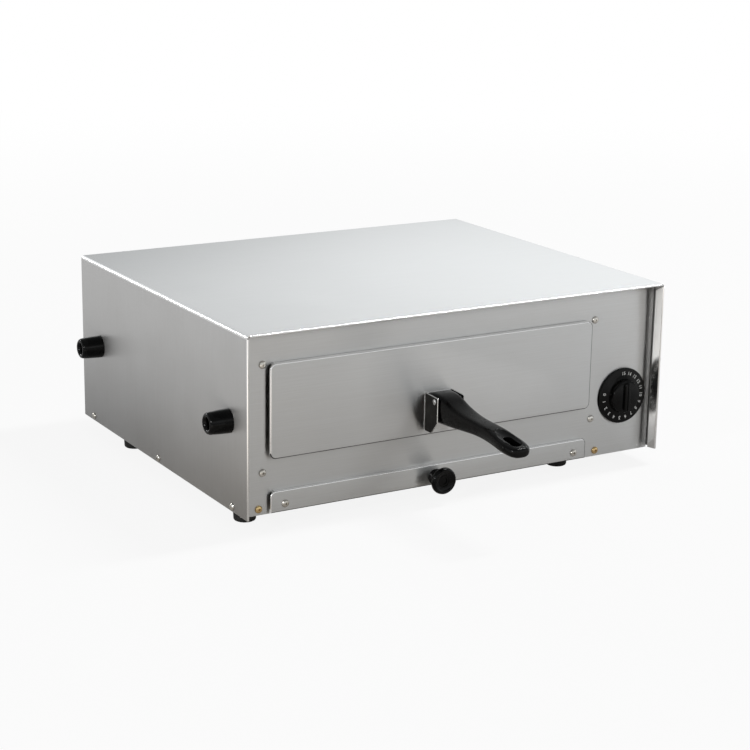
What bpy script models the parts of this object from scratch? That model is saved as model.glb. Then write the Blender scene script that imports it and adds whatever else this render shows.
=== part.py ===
"""Countertop pizza oven with a pull-out rack, a crumb tray and a timer dial.

Metres, +Z up, the front looks along -Y. Most pieces are drawn in the casing's own frame: X from
the casing's middle, Y from its front edge, Z from its lower edge. The empty "oven" carries that frame.
"""

import math

import bmesh
import bpy
from mathutils import Matrix, Vector

MM = 0.001

# Casing: one folded sheet with hemmed front edges
CASING_DEPTH = 384 * MM
CASING_HEIGHT = 173.5 * MM
SHEET = 1.0 * MM
BEND = 3.0 * MM
HEM_DEPTH = 9.0 * MM
HEM_THICKNESS = 2.2 * MM
FIT = 0.3 * MM
FLANGE = 12.0 * MM

# Feet and side stand-offs
FOOT_HEIGHT = 16.0 * MM
FOOT_TOP_RADIUS = 12.0 * MM
FOOT_BOTTOM_RADIUS = 10.0 * MM
FOOT_INSET_LEFT = 21.0 * MM
FOOT_INSET_RIGHT = 92.0 * MM
FOOT_INSET_FRONT = 47.0 * MM
FOOT_INSET_REAR = 83.0 * MM
STANDOFF_LENGTH = 23.0 * MM
STANDOFF_RADIUS = 11.5 * MM
STANDOFF_INSET = 37.0 * MM
STANDOFF_REAR_INSET = 47.0 * MM
STANDOFF_Z = 86.0 * MM

# Front panel and base
PANEL_RECESS = 14.0 * MM
PANEL_DROP = 1.5 * MM
BASE_LIFT = 1.0 * MM
BASE_RIM = 14.0 * MM

# Oven chamber
CHAMBER_WIDTH = 340.0 * MM
LEFT_SPACE = 37.5 * MM
CONTROL_SPACE = 92.5 * MM
CHAMBER_TOP = 148.0 * MM
REAR_GAP = 34.0 * MM
CHAMBER_LIP = 25.0 * MM
FOLD_LIP = 10.0 * MM
BACK_FLANGE = 8.0 * MM

# Door, rack and handle
DOOR_SIDE_COVER = 10.0 * MM
DOOR_HEIGHT = 90.0 * MM
DOOR_BOTTOM = 52.4 * MM
DOOR_SHEET = 1.2 * MM
DOOR_GAP = 5.0 * MM
DOOR_CORNER = 6.0 * MM
DOOR_OVERLAP = 5.0 * MM
RACK_Z = 66.0 * MM
RACK_ROD = 2.5 * MM
RACK_WIRE = 1.5 * MM
RACK_WIRES = 13
RAIL_LIP = 11.0 * MM
RAIL_PLAY = 0.5 * MM
RACK_SIDE_PLAY = 2.0 * MM
BRACKET_WIDTH = 30.0 * MM
BRACKET_REACH = 22.3 * MM
BRACKET_SHEET = 1.2 * MM
BRACKET_BOTTOM = 57.0 * MM
BRACKET_TOP = 95.0 * MM
HANDLE_LENGTH = 140.0 * MM
HANDLE_START = 1.8 * MM
HANDLE_TIP_WIDTH = 26.2 * MM
HANDLE_NECK_WIDTH = 19.2 * MM
HANG_LENGTH = 22.0 * MM
HANG_WIDTH = 9.4 * MM
PIN_RADIUS = 2.0 * MM

# Crumb tray
TRAY_SIDE_COVER = 8.75 * MM
TRAY_NOTCH_COVER = 1.5 * MM
TRAY_SCREW_IN_LEFT = 6.5 * MM
TRAY_SCREW_IN_RIGHT = 6.0 * MM
TRAY_SCREW_Z = 7.6 * MM
TRAY_FRONT_HEIGHT = 20.5 * MM
TRAY_FRONT_GAP = 3.5 * MM
TRAY_RIM = 12.5 * MM
TRAY_PLAY = 2.0 * MM
TRAY_KNOB_RADIUS = 13.3 * MM
TRAY_KNOB_LENGTH = 18.0 * MM
TRAY_KNOB_Z = 8.0 * MM

# Timer
TIMER_INSET = 38.0 * MM
TIMER_Z = 58.8 * MM
DIAL_RADIUS = 28.6 * MM
DIAL_SKIRT = 2.0 * MM
DIAL_BOSS_RADIUS = 17.2 * MM
DIAL_BOSS_HEIGHT = 5.8 * MM
DIAL_BAR_WIDTH = 7.6 * MM
DIAL_BAR_LENGTH = 30.0 * MM
DIAL_BAR_HEIGHT = 8.4 * MM
SHAFT_RADIUS = 3.0 * MM
TIMER_BODY = 44.0 * MM
TIMER_DEPTH = 34.0 * MM
DIVIDER_GAP = 16.0 * MM
DIVIDER_RISE = 12.0 * MM
DIVIDER_SHORT = 110.0 * MM
THERMOSTAT_BACK = 60.0 * MM
THERMOSTAT_Z = 110.0 * MM
BLOCK_BACK = 50.0 * MM
BLOCK_WIDTH = 40.0 * MM
BLOCK_DEPTH = 24.0 * MM
BLOCK_HEIGHT = 20.0 * MM

# Heating elements
ELEMENT_RADIUS = 4.0 * MM
ELEMENT_OUTER_LEG = 130.0 * MM
ELEMENT_INNER_LEG = 45.0 * MM
UPPER_ELEMENT_Z = 132.0 * MM
LOWER_ELEMENT_Z = 38.0 * MM
ELEMENT_BEND = 38.0 * MM
ELEMENT_FRONT_GAP = 25.0 * MM
ELEMENT_REAR_GAP = 20.0 * MM
PIN_LENGTH = 13.0 * MM
STRIP_WIDTH = 12.0 * MM
STRIP_TAB = 9.0 * MM

# Screws
SCREW_HEAD = 3.7 * MM
SCREW_SHANK = 1.7 * MM
SCREW_LENGTH = 7.0 * MM
FRONT_SCREW_OUT_LEFT = 15.0 * MM
FRONT_SCREW_OUT_RIGHT = 17.0 * MM
FRONT_SCREW_DOWN = 0.9 * MM
FRONT_SCREW_BELOW = 13.4 * MM
BASE_SCREW_OUT_LEFT = 11.75 * MM
BASE_SCREW_OUT_RIGHT = 16.75 * MM
BASE_SCREW_Z = 4.5 * MM

# Rear
GLAND_INSET = 45.0 * MM
GLAND_Z = 40.0 * MM
GLAND_PROUD = 9.0 * MM
LEAD_RADIUS = 1.6 * MM
LEAD_BEND = 6.0 * MM
LEAD_RISE = 12.0 * MM
LEAD_SPREAD = 8.0 * MM

# Places that follow from the driving dimensions
CASING_WIDTH = LEFT_SPACE + CHAMBER_WIDTH + CONTROL_SPACE
HALF = CASING_WIDTH / 2
CHAMBER_X = (LEFT_SPACE - CONTROL_SPACE) / 2
DOOR_WIDTH = CHAMBER_WIDTH + 2 * DOOR_SIDE_COVER
TRAY_FRONT_WIDTH = CHAMBER_WIDTH + 2 * TRAY_SIDE_COVER
TIMER_X = HALF - TIMER_INSET
GLAND_X = HALF - GLAND_INSET
CHAMBER_REAR = CASING_DEPTH - REAR_GAP
INNER_HALF = HALF - SHEET - FIT
DOOR_BACK = PANEL_RECESS - DOOR_GAP
DOOR_FRONT = DOOR_BACK - DOOR_SHEET
HANDLE_TIP = DOOR_FRONT - HANDLE_START - HANDLE_LENGTH
REAR_FACE = CASING_DEPTH - FIT
Y_FRONT = (-HANDLE_TIP - REAR_FACE - GLAND_PROUD) / 2
BASE_TOP = BASE_LIFT + SHEET
PANEL_BACK = PANEL_RECESS + SHEET
BEHIND_PANEL = PANEL_BACK + FIT
BEHIND_LIP = BEHIND_PANEL + SHEET
BASE_BACK = REAR_FACE - SHEET - FIT
CORNER_CLEAR = BASE_LIFT + BASE_RIM + 5 * MM
WALL_LEFT = CHAMBER_X - CHAMBER_WIDTH / 2
WALL_RIGHT = CHAMBER_X + CHAMBER_WIDTH / 2
WRAP_REAR = CHAMBER_REAR + BACK_FLANGE
PIN_END = WRAP_REAR + PIN_LENGTH
NOTCH_HALF = TRAY_FRONT_WIDTH / 2 - TRAY_NOTCH_COVER
PANEL_TOP = CASING_HEIGHT - SHEET - FIT

for old in list(bpy.data.objects):
    bpy.data.objects.remove(old)


def surface(name, color, roughness, metallic):
    """A plain material for one kind of stuff."""
    made = bpy.data.materials.new(name)
    made.use_nodes = True
    shader = made.node_tree.nodes["Principled BSDF"]
    shader.inputs["Base Color"].default_value = (*color, 1)
    shader.inputs["Roughness"].default_value = roughness
    shader.inputs["Metallic"].default_value = metallic
    return made


STAINLESS = surface("stainless", (0.62, 0.62, 0.61), 0.32, 1)
LINER = surface("aluminised sheet", (0.5, 0.5, 0.49), 0.45, 1)
CHROME = surface("chrome wire", (0.75, 0.75, 0.76), 0.15, 1)
NICKEL = surface("nickel", (0.7, 0.69, 0.66), 0.2, 1)
BRASS = surface("yellow zinc", (0.75, 0.58, 0.25), 0.3, 1)
BAKELITE = surface("black bakelite", (0.012, 0.012, 0.012), 0.25, 0)
RUBBER = surface("black rubber", (0.02, 0.02, 0.02), 0.7, 0)
SHEATH = surface("element sheath", (0.25, 0.24, 0.23), 0.4, 1)
MOULDING = surface("white moulding", (0.75, 0.74, 0.7), 0.5, 0)
LEAD = surface("lead sleeve", (0.7, 0.68, 0.62), 0.6, 0)


def frame(name, place, parent=None):
    """An empty that carries a body."""
    made = bpy.data.objects.new(name, None)
    made.location = place
    made.parent = parent
    bpy.context.scene.collection.objects.link(made)
    return made


oven = frame("oven", (0, Y_FRONT, FOOT_HEIGHT))
rack_drawer = frame("rack_drawer", (CHAMBER_X, DOOR_FRONT, RACK_Z), oven)
crumb_tray = frame("crumb_tray", (CHAMBER_X, PANEL_RECESS - TRAY_FRONT_GAP, BASE_TOP), oven)
timer_dial = frame("timer_dial", (TIMER_X, PANEL_RECESS, TIMER_Z), oven)


def piece(name, bm, material, parent=oven, smooth=True):
    """An object in the casing's frame, under the body that carries it."""
    bmesh.ops.recalc_face_normals(bm, faces=bm.faces)
    mesh = bpy.data.meshes.new(name)
    bm.to_mesh(mesh)
    bm.free()
    mesh.materials.append(material)
    if smooth:
        mesh.shade_smooth()
        mesh.set_sharp_from_angle(angle=math.radians(32))
    made = bpy.data.objects.new(name, mesh)
    bpy.context.scene.collection.objects.link(made)
    made.parent = parent
    if parent is not oven:
        made.location = -parent.location
    return made


def placed(name, bm, material, place, turn=None, parent=oven):
    """An object with its own origin: a turned piece set on its axis."""
    made = piece(name, bm, material, parent)
    made.location = Vector(place) - (parent.location if parent is not oven else Vector())
    if turn is not None:
        made.rotation_euler = turn
    return made


def prism(outline, axis, start, end):
    """An outline pushed along one axis; its own two coordinates lie on the other two axes in order."""
    bm = bmesh.new()
    spots = {
        "X": lambda a, b: (start, a, b),
        "Y": lambda a, b: (a, start, b),
        "Z": lambda a, b: (a, b, start),
    }[axis]
    face = bm.faces.new([bm.verts.new(spots(a, b)) for a, b in outline])
    pushed = bmesh.ops.extrude_face_region(bm, geom=[face])
    ends = [item for item in pushed["geom"] if isinstance(item, bmesh.types.BMVert)]
    way = Vector([end - start if letter == axis else 0 for letter in "XYZ"])
    bmesh.ops.translate(bm, verts=ends, vec=way)
    bmesh.ops.recalc_face_normals(bm, faces=bm.faces)
    return bm


def block(low, high):
    """A box between two corners."""
    outline = [(low[0], low[1]), (high[0], low[1]), (high[0], high[1]), (low[0], high[1])]
    return prism(outline, "Z", low[2], high[2])


def rounded(low, high, radius, steps=4, square=()):
    """A rectangle with round corners; `square` names corners left sharp (0 to 3 from low-low round)."""
    centres = [
        (low[0] + radius, low[1] + radius, 180),
        (high[0] - radius, low[1] + radius, 270),
        (high[0] - radius, high[1] - radius, 0),
        (low[0] + radius, high[1] - radius, 90),
    ]
    sharp = [low, (high[0], low[1]), high, (low[0], high[1])]
    points = []
    for index, (across, up, first) in enumerate(centres):
        if index in square:
            points.append(sharp[index])
            continue
        for step in range(steps + 1):
            angle = math.radians(first + 90 * step / steps)
            points.append((across + radius * math.cos(angle), up + radius * math.sin(angle)))
    return points


def folded(path, thickness, radius=2.0 * MM, steps=3):
    """The outline of a folded sheet whose middle line follows the path."""
    spots = [Vector(point) for point in path]
    line = [(spots[0], (spots[1] - spots[0]).normalized())]
    for before, here, after in zip(spots, spots[1:], spots[2:]):
        come = (here - before).normalized()
        leave = (after - here).normalized()
        turn = come.angle_signed(leave)
        reach = radius * math.tan(abs(turn) / 2)
        begin = here - come * reach
        side = Vector((-come.y, come.x)) * (-1 if turn > 0 else 1)
        centre = begin + side * radius
        for step in range(steps + 1):
            spin = Matrix.Rotation(-turn * step / steps, 2)
            line.append((centre + spin @ (begin - centre), spin @ come))
    line.append((spots[-1], (spots[-1] - spots[-2]).normalized()))
    left = [spot + Vector((-way.y, way.x)) * thickness / 2 for spot, way in line]
    right = [spot - Vector((-way.y, way.x)) * thickness / 2 for spot, way in line]
    return [tuple(spot) for spot in left + right[::-1]]


def thickened(target, thickness):
    """Gives a thin surface the sheet's thickness, half to each side."""
    step = target.modifiers.new("sheet", "SOLIDIFY")
    step.thickness = thickness
    step.offset = 0
    step.use_even_offset = True
    return target


def pan(low, high, axis, floor, rim, bend=2.0 * MM):
    """A thin surface: a rectangle across an axis with its four edges folded along that axis."""
    bm = bmesh.new()
    spots = {
        "Y": lambda a, b: (a, floor, b),
        "Z": lambda a, b: (a, b, floor),
    }[axis]
    corners = [(low[0], low[1]), (high[0], low[1]), (high[0], high[1]), (low[0], high[1])]
    face = bm.faces.new([bm.verts.new(spots(a, b)) for a, b in corners])
    pushed = bmesh.ops.extrude_edge_only(bm, edges=face.edges)
    ends = [item for item in pushed["geom"] if isinstance(item, bmesh.types.BMVert)]
    way = Vector([rim - floor if letter == axis else 0 for letter in "XYZ"])
    bmesh.ops.translate(bm, verts=ends, vec=way)
    folds = [edge for edge in bm.edges if not edge.is_boundary]
    bmesh.ops.bevel(
        bm, geom=folds, offset=bend, segments=2, affect="EDGES", profile=0.5, material=-1, clamp_overlap=True
    )
    return bm


def turned(profile, steps=24):
    """A profile of (radius, height) points spun about Z; it starts and ends on the axis or closes itself."""
    bm = bmesh.new()
    spots = [bm.verts.new((radius, 0, height)) for radius, height in profile]
    edges = [bm.edges.new(pair) for pair in zip(spots, spots[1:])]
    if profile[0][0] > 0:
        edges.append(bm.edges.new((spots[-1], spots[0])))
    bmesh.ops.spin(
        bm, geom=spots + edges, axis=(0, 0, 1), cent=(0, 0, 0), angle=2 * math.pi, steps=steps, use_merge=True
    )
    bmesh.ops.remove_doubles(bm, verts=bm.verts, dist=1e-6)
    return bm


def tube(points, radius, sides=8, bend=0.0, steps=4, closed=False):
    """A round rod along a polyline whose corners are bent to a radius."""
    spots = [Vector(point) for point in points]
    line = []
    count = len(spots)
    for index, here in enumerate(spots):
        if bend == 0 or (not closed and index in (0, count - 1)):
            line.append(here)
            continue
        come = (here - spots[index - 1]).normalized()
        leave = (spots[(index + 1) % count] - here).normalized()
        turn = come.angle(leave)
        reach = bend * math.tan(turn / 2)
        centre = here + (leave - come).normalized() * bend / math.cos(turn / 2)
        axis = come.cross(leave).normalized()
        begin = here - come * reach - centre
        line += [centre + Matrix.Rotation(turn * step / steps, 3, axis) @ begin for step in range(steps + 1)]
    curve = bpy.data.curves.new("rod", "CURVE")
    curve.dimensions = "3D"
    curve.bevel_depth = radius
    curve.bevel_resolution = (sides - 4) // 2
    curve.use_fill_caps = not closed
    spline = curve.splines.new("POLY")
    spline.points.add(len(line) - 1)
    for point, spot in zip(spline.points, line):
        point.co = (*spot, 1)
    spline.use_cyclic_u = closed
    rod = bpy.data.objects.new("rod", curve)
    bpy.context.scene.collection.objects.link(rod)
    graph = bpy.context.evaluated_depsgraph_get()
    mesh = bpy.data.meshes.new_from_object(rod.evaluated_get(graph))
    bm = bmesh.new()
    bm.from_mesh(mesh)
    bmesh.ops.remove_doubles(bm, verts=bm.verts, dist=1e-6)
    bmesh.ops.recalc_face_normals(bm, faces=bm.faces)
    bpy.data.objects.remove(rod)
    bpy.data.curves.remove(curve)
    bpy.data.meshes.remove(mesh)
    return bm


def rod_cut(axis, place, radius, reach, steps=12):
    """A round cutter centred on a place, lying along one axis."""
    bm = bmesh.new()
    bmesh.ops.create_cone(
        bm, cap_ends=True, segments=steps, radius1=radius, radius2=radius, depth=2 * reach
    )
    turn = {"X": Matrix.Rotation(math.pi / 2, 4, "Y"), "Y": Matrix.Rotation(math.pi / 2, 4, "X"), "Z": Matrix()}
    bmesh.ops.transform(bm, matrix=Matrix.Translation(place) @ turn[axis], verts=bm.verts)
    return bm


def shaped(target, others, operation):
    """Cuts the other solids out of a piece, or welds them to it."""
    tools = []
    for bm in others:
        tool = piece("tool", bm, STAINLESS, oven, smooth=False)
        tool.hide_render = True
        tool.display_type = "WIRE"
        tool.parent = target.parent
        tool.location = target.location
        tool.rotation_euler = target.rotation_euler
        step = target.modifiers.new("shape", "BOOLEAN")
        step.operation = operation
        step.solver = "EXACT"
        step.object = tool
        tools.append(tool)
    bpy.context.view_layer.update()
    graph = bpy.context.evaluated_depsgraph_get()
    result = bpy.data.meshes.new_from_object(target.evaluated_get(graph))
    target.modifiers.clear()
    first = target.data
    target.data = result
    bpy.data.meshes.remove(first)
    result.shade_smooth()
    result.set_sharp_from_angle(angle=math.radians(32))
    for tool in tools:
        spare = tool.data
        bpy.data.objects.remove(tool)
        bpy.data.meshes.remove(spare)


def cut(target, others):
    shaped(target, others, "DIFFERENCE")


def weld(target, others):
    shaped(target, others, "UNION")


# Outer casing: the folded sheet runs round top and sides, its front edge doubled back as a hem
def casing_ring(y, grow_out, thickness):
    """The casing's section at one depth, its faces moved in from the outside by grow_out."""
    side = HALF - grow_out
    top = CASING_HEIGHT - grow_out
    middle = [
        (-side + thickness / 2, 0),
        (-side + thickness / 2, top - thickness / 2),
        (side - thickness / 2, top - thickness / 2),
        (side - thickness / 2, 0),
    ]
    radius = BEND - grow_out - thickness / 2
    return [(across, y, up) for across, up in folded(middle, thickness, max(radius, thickness * 0.55), 4)]


hem_round = HEM_THICKNESS * 0.3
casing_rings = [
    casing_ring(0, hem_round, HEM_THICKNESS - 2 * hem_round),
    casing_ring(hem_round, 0, HEM_THICKNESS),
    casing_ring(HEM_DEPTH, 0, HEM_THICKNESS),
    casing_ring(HEM_DEPTH + SHEET / 2, 0, SHEET),
    casing_ring(CASING_DEPTH, 0, SHEET),
]
bm = bmesh.new()
loops = [[bm.verts.new(spot) for spot in ring] for ring in casing_rings]
for first, second in zip(loops, loops[1:]):
    for index in range(len(first)):
        after = (index + 1) % len(first)
        bm.faces.new((first[index], first[after], second[after], second[index]))
bm.faces.new(loops[0])
bm.faces.new(loops[-1])
outer_casing = piece("outer_casing", bm, STAINLESS)

STANDOFF_PLACES = {
    "front": STANDOFF_INSET,
    "rear": CASING_DEPTH - STANDOFF_REAR_INSET,
}
CASING_SCREW_Y = (30.5 * MM, CASING_DEPTH / 2 + 2 * MM, CASING_DEPTH - 26.5 * MM)
CASING_SCREW_Z = BASE_LIFT + 4.0 * MM
SPIGOT = 4.0 * MM
holes = []
for side in (-1, 1):
    for y in CASING_SCREW_Y:
        holes.append(rod_cut("X", (side * HALF, y, CASING_SCREW_Z), SCREW_SHANK + FIT, 3 * SHEET))
    for y in STANDOFF_PLACES.values():
        holes.append(rod_cut("X", (side * HALF, y, STANDOFF_Z), SPIGOT + FIT, 3 * SHEET))
cut(outer_casing, holes)

# Front panel: set back in the casing, edges folded back, with the door opening and the tray notch
middle_half = INNER_HALF - SHEET / 2
front_form = pan(
    (-middle_half, -PANEL_DROP - FLANGE),
    (middle_half, PANEL_TOP - SHEET / 2),
    "Y",
    PANEL_RECESS + SHEET / 2,
    PANEL_RECESS + FLANGE,
)
front_panel = thickened(piece("front_panel", front_form, STAINLESS), SHEET)
OPENING_LOW = DOOR_BOTTOM + DOOR_OVERLAP
OPENING_HIGH = DOOR_BOTTOM + DOOR_HEIGHT - DOOR_OVERLAP
screw_left = WALL_LEFT - FRONT_SCREW_OUT_LEFT
screw_right = WALL_RIGHT + FRONT_SCREW_OUT_RIGHT
screw_top = DOOR_BOTTOM + DOOR_HEIGHT - FRONT_SCREW_DOWN
screw_low = DOOR_BOTTOM - FRONT_SCREW_BELOW
FRONT_SCREWS = {
    "front_screw_top_left": (screw_left, screw_top),
    "front_screw_top_right": (screw_right, screw_top),
    "front_screw_low_left": (screw_left, screw_low),
    "front_screw_low_right": (screw_right, screw_low),
}
BASE_SCREWS = {
    "base_screw_left": (CHAMBER_X - NOTCH_HALF - BASE_SCREW_OUT_LEFT, BASE_SCREW_Z),
    "base_screw_right": (CHAMBER_X + NOTCH_HALF + BASE_SCREW_OUT_RIGHT, BASE_SCREW_Z),
}
opening = rounded(
    (WALL_LEFT + SHEET, OPENING_LOW), (WALL_RIGHT - SHEET, OPENING_HIGH), 4 * MM
)
notch = rounded(
    (CHAMBER_X - NOTCH_HALF, -PANEL_DROP - 5 * MM),
    (CHAMBER_X + NOTCH_HALF, TRAY_FRONT_HEIGHT - 2 * MM),
    3 * MM,
    square=(0, 1),
)
front_cuts = [
    prism(opening, "Y", 0, PANEL_RECESS + FLANGE / 2),
    prism(notch, "Y", 0, PANEL_RECESS + FLANGE / 2),
    rod_cut("Y", (TIMER_X, PANEL_RECESS, TIMER_Z), SHAFT_RADIUS + 1 * MM, 4 * SHEET, 16),
]
wide = 2 * HALF
front_cuts.append(block((-wide, -wide, -wide), (wide, wide, -PANEL_DROP)))
front_cuts.append(block((-wide, PANEL_BACK + 2.5 * MM, -wide), (wide, wide, CORNER_CLEAR)))
for across, up in [*FRONT_SCREWS.values(), *BASE_SCREWS.values()]:
    front_cuts.append(rod_cut("Y", (across, PANEL_RECESS, up), SCREW_SHANK + FIT, 4 * SHEET))
cut(front_panel, front_cuts)

# Rear panel: closes the casing, with vent slots and the gland's hole
rear_form = pan(
    (-middle_half, -FLANGE),
    (middle_half, PANEL_TOP - SHEET / 2),
    "Y",
    REAR_FACE - SHEET / 2,
    REAR_FACE - FLANGE,
)
rear_panel = thickened(piece("rear_panel", rear_form, STAINLESS), SHEET)
rear_cuts = [rod_cut("Y", (GLAND_X, REAR_FACE, GLAND_Z), 7 * MM + FIT, 4 * SHEET, 20)]
VENTS = 8
for index in range(VENTS):
    across = 90 * MM + index * 14 * MM
    slot = rounded((across - 2.5 * MM, 95 * MM), (across + 2.5 * MM, 140 * MM), 2.4 * MM, 3)
    rear_cuts.append(prism(slot, "Y", REAR_FACE - 4 * MM, REAR_FACE + 4 * MM))
rear_cuts.append(block((-wide, -wide, -wide), (wide, wide, BASE_LIFT)))
rear_cuts.append(block((-wide, -wide, -wide), (wide, REAR_FACE - SHEET - 2.5 * MM, CORNER_CLEAR)))
cut(rear_panel, rear_cuts)

# Base pan: floor with its rims folded up, front tabs left and right of the tray
rim_top = BASE_LIFT + BASE_RIM
base_form = pan(
    (-middle_half, BEHIND_PANEL + SHEET / 2),
    (middle_half, BASE_BACK - SHEET / 2),
    "Z",
    BASE_LIFT + SHEET / 2,
    rim_top,
)
base_pan = thickened(piece("base_pan", base_form, LINER), SHEET)
tab_left = CHAMBER_X - NOTCH_HALF - 2 * MM
tab_right = CHAMBER_X + NOTCH_HALF + 2 * MM
FOOT_PLACES = {
    "foot_front_left": (-HALF + FOOT_INSET_LEFT, FOOT_INSET_FRONT),
    "foot_front_right": (HALF - FOOT_INSET_RIGHT, FOOT_INSET_FRONT),
    "foot_rear_left": (-HALF + FOOT_INSET_LEFT, CASING_DEPTH - FOOT_INSET_REAR),
    "foot_rear_right": (HALF - FOOT_INSET_RIGHT, CASING_DEPTH - FOOT_INSET_REAR),
}
base_cuts = [block((tab_left, -wide, BASE_TOP), (tab_right, BEHIND_PANEL + 5 * MM, wide))]
for side in (-1, 1):
    inner, outer = sorted((side * (INNER_HALF - 5 * MM), side * wide))
    base_cuts.append(block((inner, -wide, -wide), (outer, PANEL_BACK + 4 * MM, wide)))
    base_cuts.append(block((inner, REAR_FACE - SHEET - 4 * MM, -wide), (outer, wide, wide)))
for across, y in FOOT_PLACES.values():
    base_cuts.append(rod_cut("Z", (across, y, BASE_LIFT), SPIGOT + FIT, 4 * SHEET))
for across, up in BASE_SCREWS.values():
    base_cuts.append(rod_cut("Y", (across, BEHIND_PANEL, up), SCREW_SHANK + FIT, 4 * SHEET))
for side in (-1, 1):
    for y in CASING_SCREW_Y:
        base_cuts.append(rod_cut("X", (side * INNER_HALF, y, CASING_SCREW_Z), SCREW_SHANK + FIT, 4 * SHEET))
cut(base_pan, base_cuts)

# Oven chamber: top and walls in one sheet standing on the base, lips in front for the panel's screws
wrap_path = [
    (WALL_LEFT - FLANGE, BASE_TOP + FIT + SHEET / 2),
    (WALL_LEFT - SHEET / 2, BASE_TOP + FIT + SHEET / 2),
    (WALL_LEFT - SHEET / 2, CHAMBER_TOP + SHEET / 2),
    (WALL_RIGHT + SHEET / 2, CHAMBER_TOP + SHEET / 2),
    (WALL_RIGHT + SHEET / 2, BASE_TOP + FIT + SHEET / 2),
    (WALL_RIGHT + FLANGE, BASE_TOP + FIT + SHEET / 2),
]
bm = bmesh.new()
line = [bm.verts.new((across, BEHIND_PANEL + SHEET / 2, up)) for across, up in wrap_path]
edges = [bm.edges.new(pair) for pair in zip(line, line[1:])]
pushed = bmesh.ops.extrude_edge_only(bm, edges=edges)
ends = [item for item in pushed["geom"] if isinstance(item, bmesh.types.BMVert)]
bmesh.ops.translate(bm, verts=ends, vec=(0, WRAP_REAR - BEHIND_PANEL - SHEET / 2, 0))
for side, edge in ((-1, edges[1]), (1, edges[3])):
    pushed = bmesh.ops.extrude_edge_only(bm, edges=[edge])
    ends = [item for item in pushed["geom"] if isinstance(item, bmesh.types.BMVert)]
    bmesh.ops.translate(bm, verts=ends, vec=(side * CHAMBER_LIP, 0, 0))
folds = [edge for edge in bm.edges if not edge.is_boundary]
bmesh.ops.bevel(bm, geom=folds, offset=1.5 * MM, segments=2, affect="EDGES", profile=0.5, material=-1)
chamber_wrap = thickened(piece("chamber_wrap", bm, LINER), SHEET)
wrap_cuts = [block((-wide, -wide, -wide), (wide, BEHIND_LIP + 2 * MM, CORNER_CLEAR))]
for across, up in FRONT_SCREWS.values():
    wrap_cuts.append(rod_cut("Y", (across, BEHIND_PANEL, up), SCREW_SHANK + FIT, 4 * SHEET))
THERMOSTAT_Y = CHAMBER_REAR - THERMOSTAT_BACK
wrap_cuts.append(rod_cut("X", (WALL_RIGHT, THERMOSTAT_Y, THERMOSTAT_Z), 5 * MM + FIT, 4 * SHEET))
cut(chamber_wrap, wrap_cuts)

ELEMENT_LEGS = (-ELEMENT_OUTER_LEG, -ELEMENT_INNER_LEG, ELEMENT_INNER_LEG, ELEMENT_OUTER_LEG)
back_left = WALL_LEFT + FIT + SHEET / 2
back_right = WALL_RIGHT - FIT - SHEET / 2
chamber_back_path = [
    (back_left, WRAP_REAR),
    (back_left, CHAMBER_REAR + SHEET / 2),
    (back_right, CHAMBER_REAR + SHEET / 2),
    (back_right, WRAP_REAR),
]
chamber_back = piece(
    "chamber_back",
    prism(folded(chamber_back_path, SHEET), "Z", BASE_TOP + FIT, CHAMBER_TOP - 1.5 * MM),
    LINER,
)
back_cuts = []
for z in (UPPER_ELEMENT_Z, LOWER_ELEMENT_Z):
    for leg in (-ELEMENT_OUTER_LEG, ELEMENT_OUTER_LEG):
        place = (CHAMBER_X + leg, CHAMBER_REAR, z)
        back_cuts.append(rod_cut("Y", place, ELEMENT_RADIUS + FIT, 4 * SHEET, 16))
cut(chamber_back, back_cuts)

# Rails and guides along the chamber's walls
rail_half = RACK_ROD + RAIL_PLAY + SHEET / 2
for side, wall, name in ((1, WALL_LEFT, "left"), (-1, WALL_RIGHT, "right")):
    web = wall + side * (FIT + SHEET / 2)
    lip = wall + side * (FIT + RAIL_LIP)
    rail_path = [
        (lip, RACK_Z - rail_half),
        (web, RACK_Z - rail_half),
        (web, RACK_Z + rail_half),
        (lip, RACK_Z + rail_half),
    ]
    outline = folded(rail_path, SHEET, 1.0 * MM, 2)
    piece("rack_rail_" + name, prism(outline, "Y", BEHIND_LIP + 4 * MM, CHAMBER_REAR - FIT), STAINLESS)
    guide_low = BASE_TOP + FIT + TRAY_RIM + 1.2 * MM
    guide_path = [
        (lip, guide_low + SHEET / 2),
        (web, guide_low + SHEET / 2),
        (web, guide_low + FOLD_LIP),
    ]
    outline = folded(guide_path, SHEET, 1.0 * MM, 2)
    piece("tray_guide_" + name, prism(outline, "Y", BEHIND_LIP + 4 * MM, CHAMBER_REAR - FIT), LINER)

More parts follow.
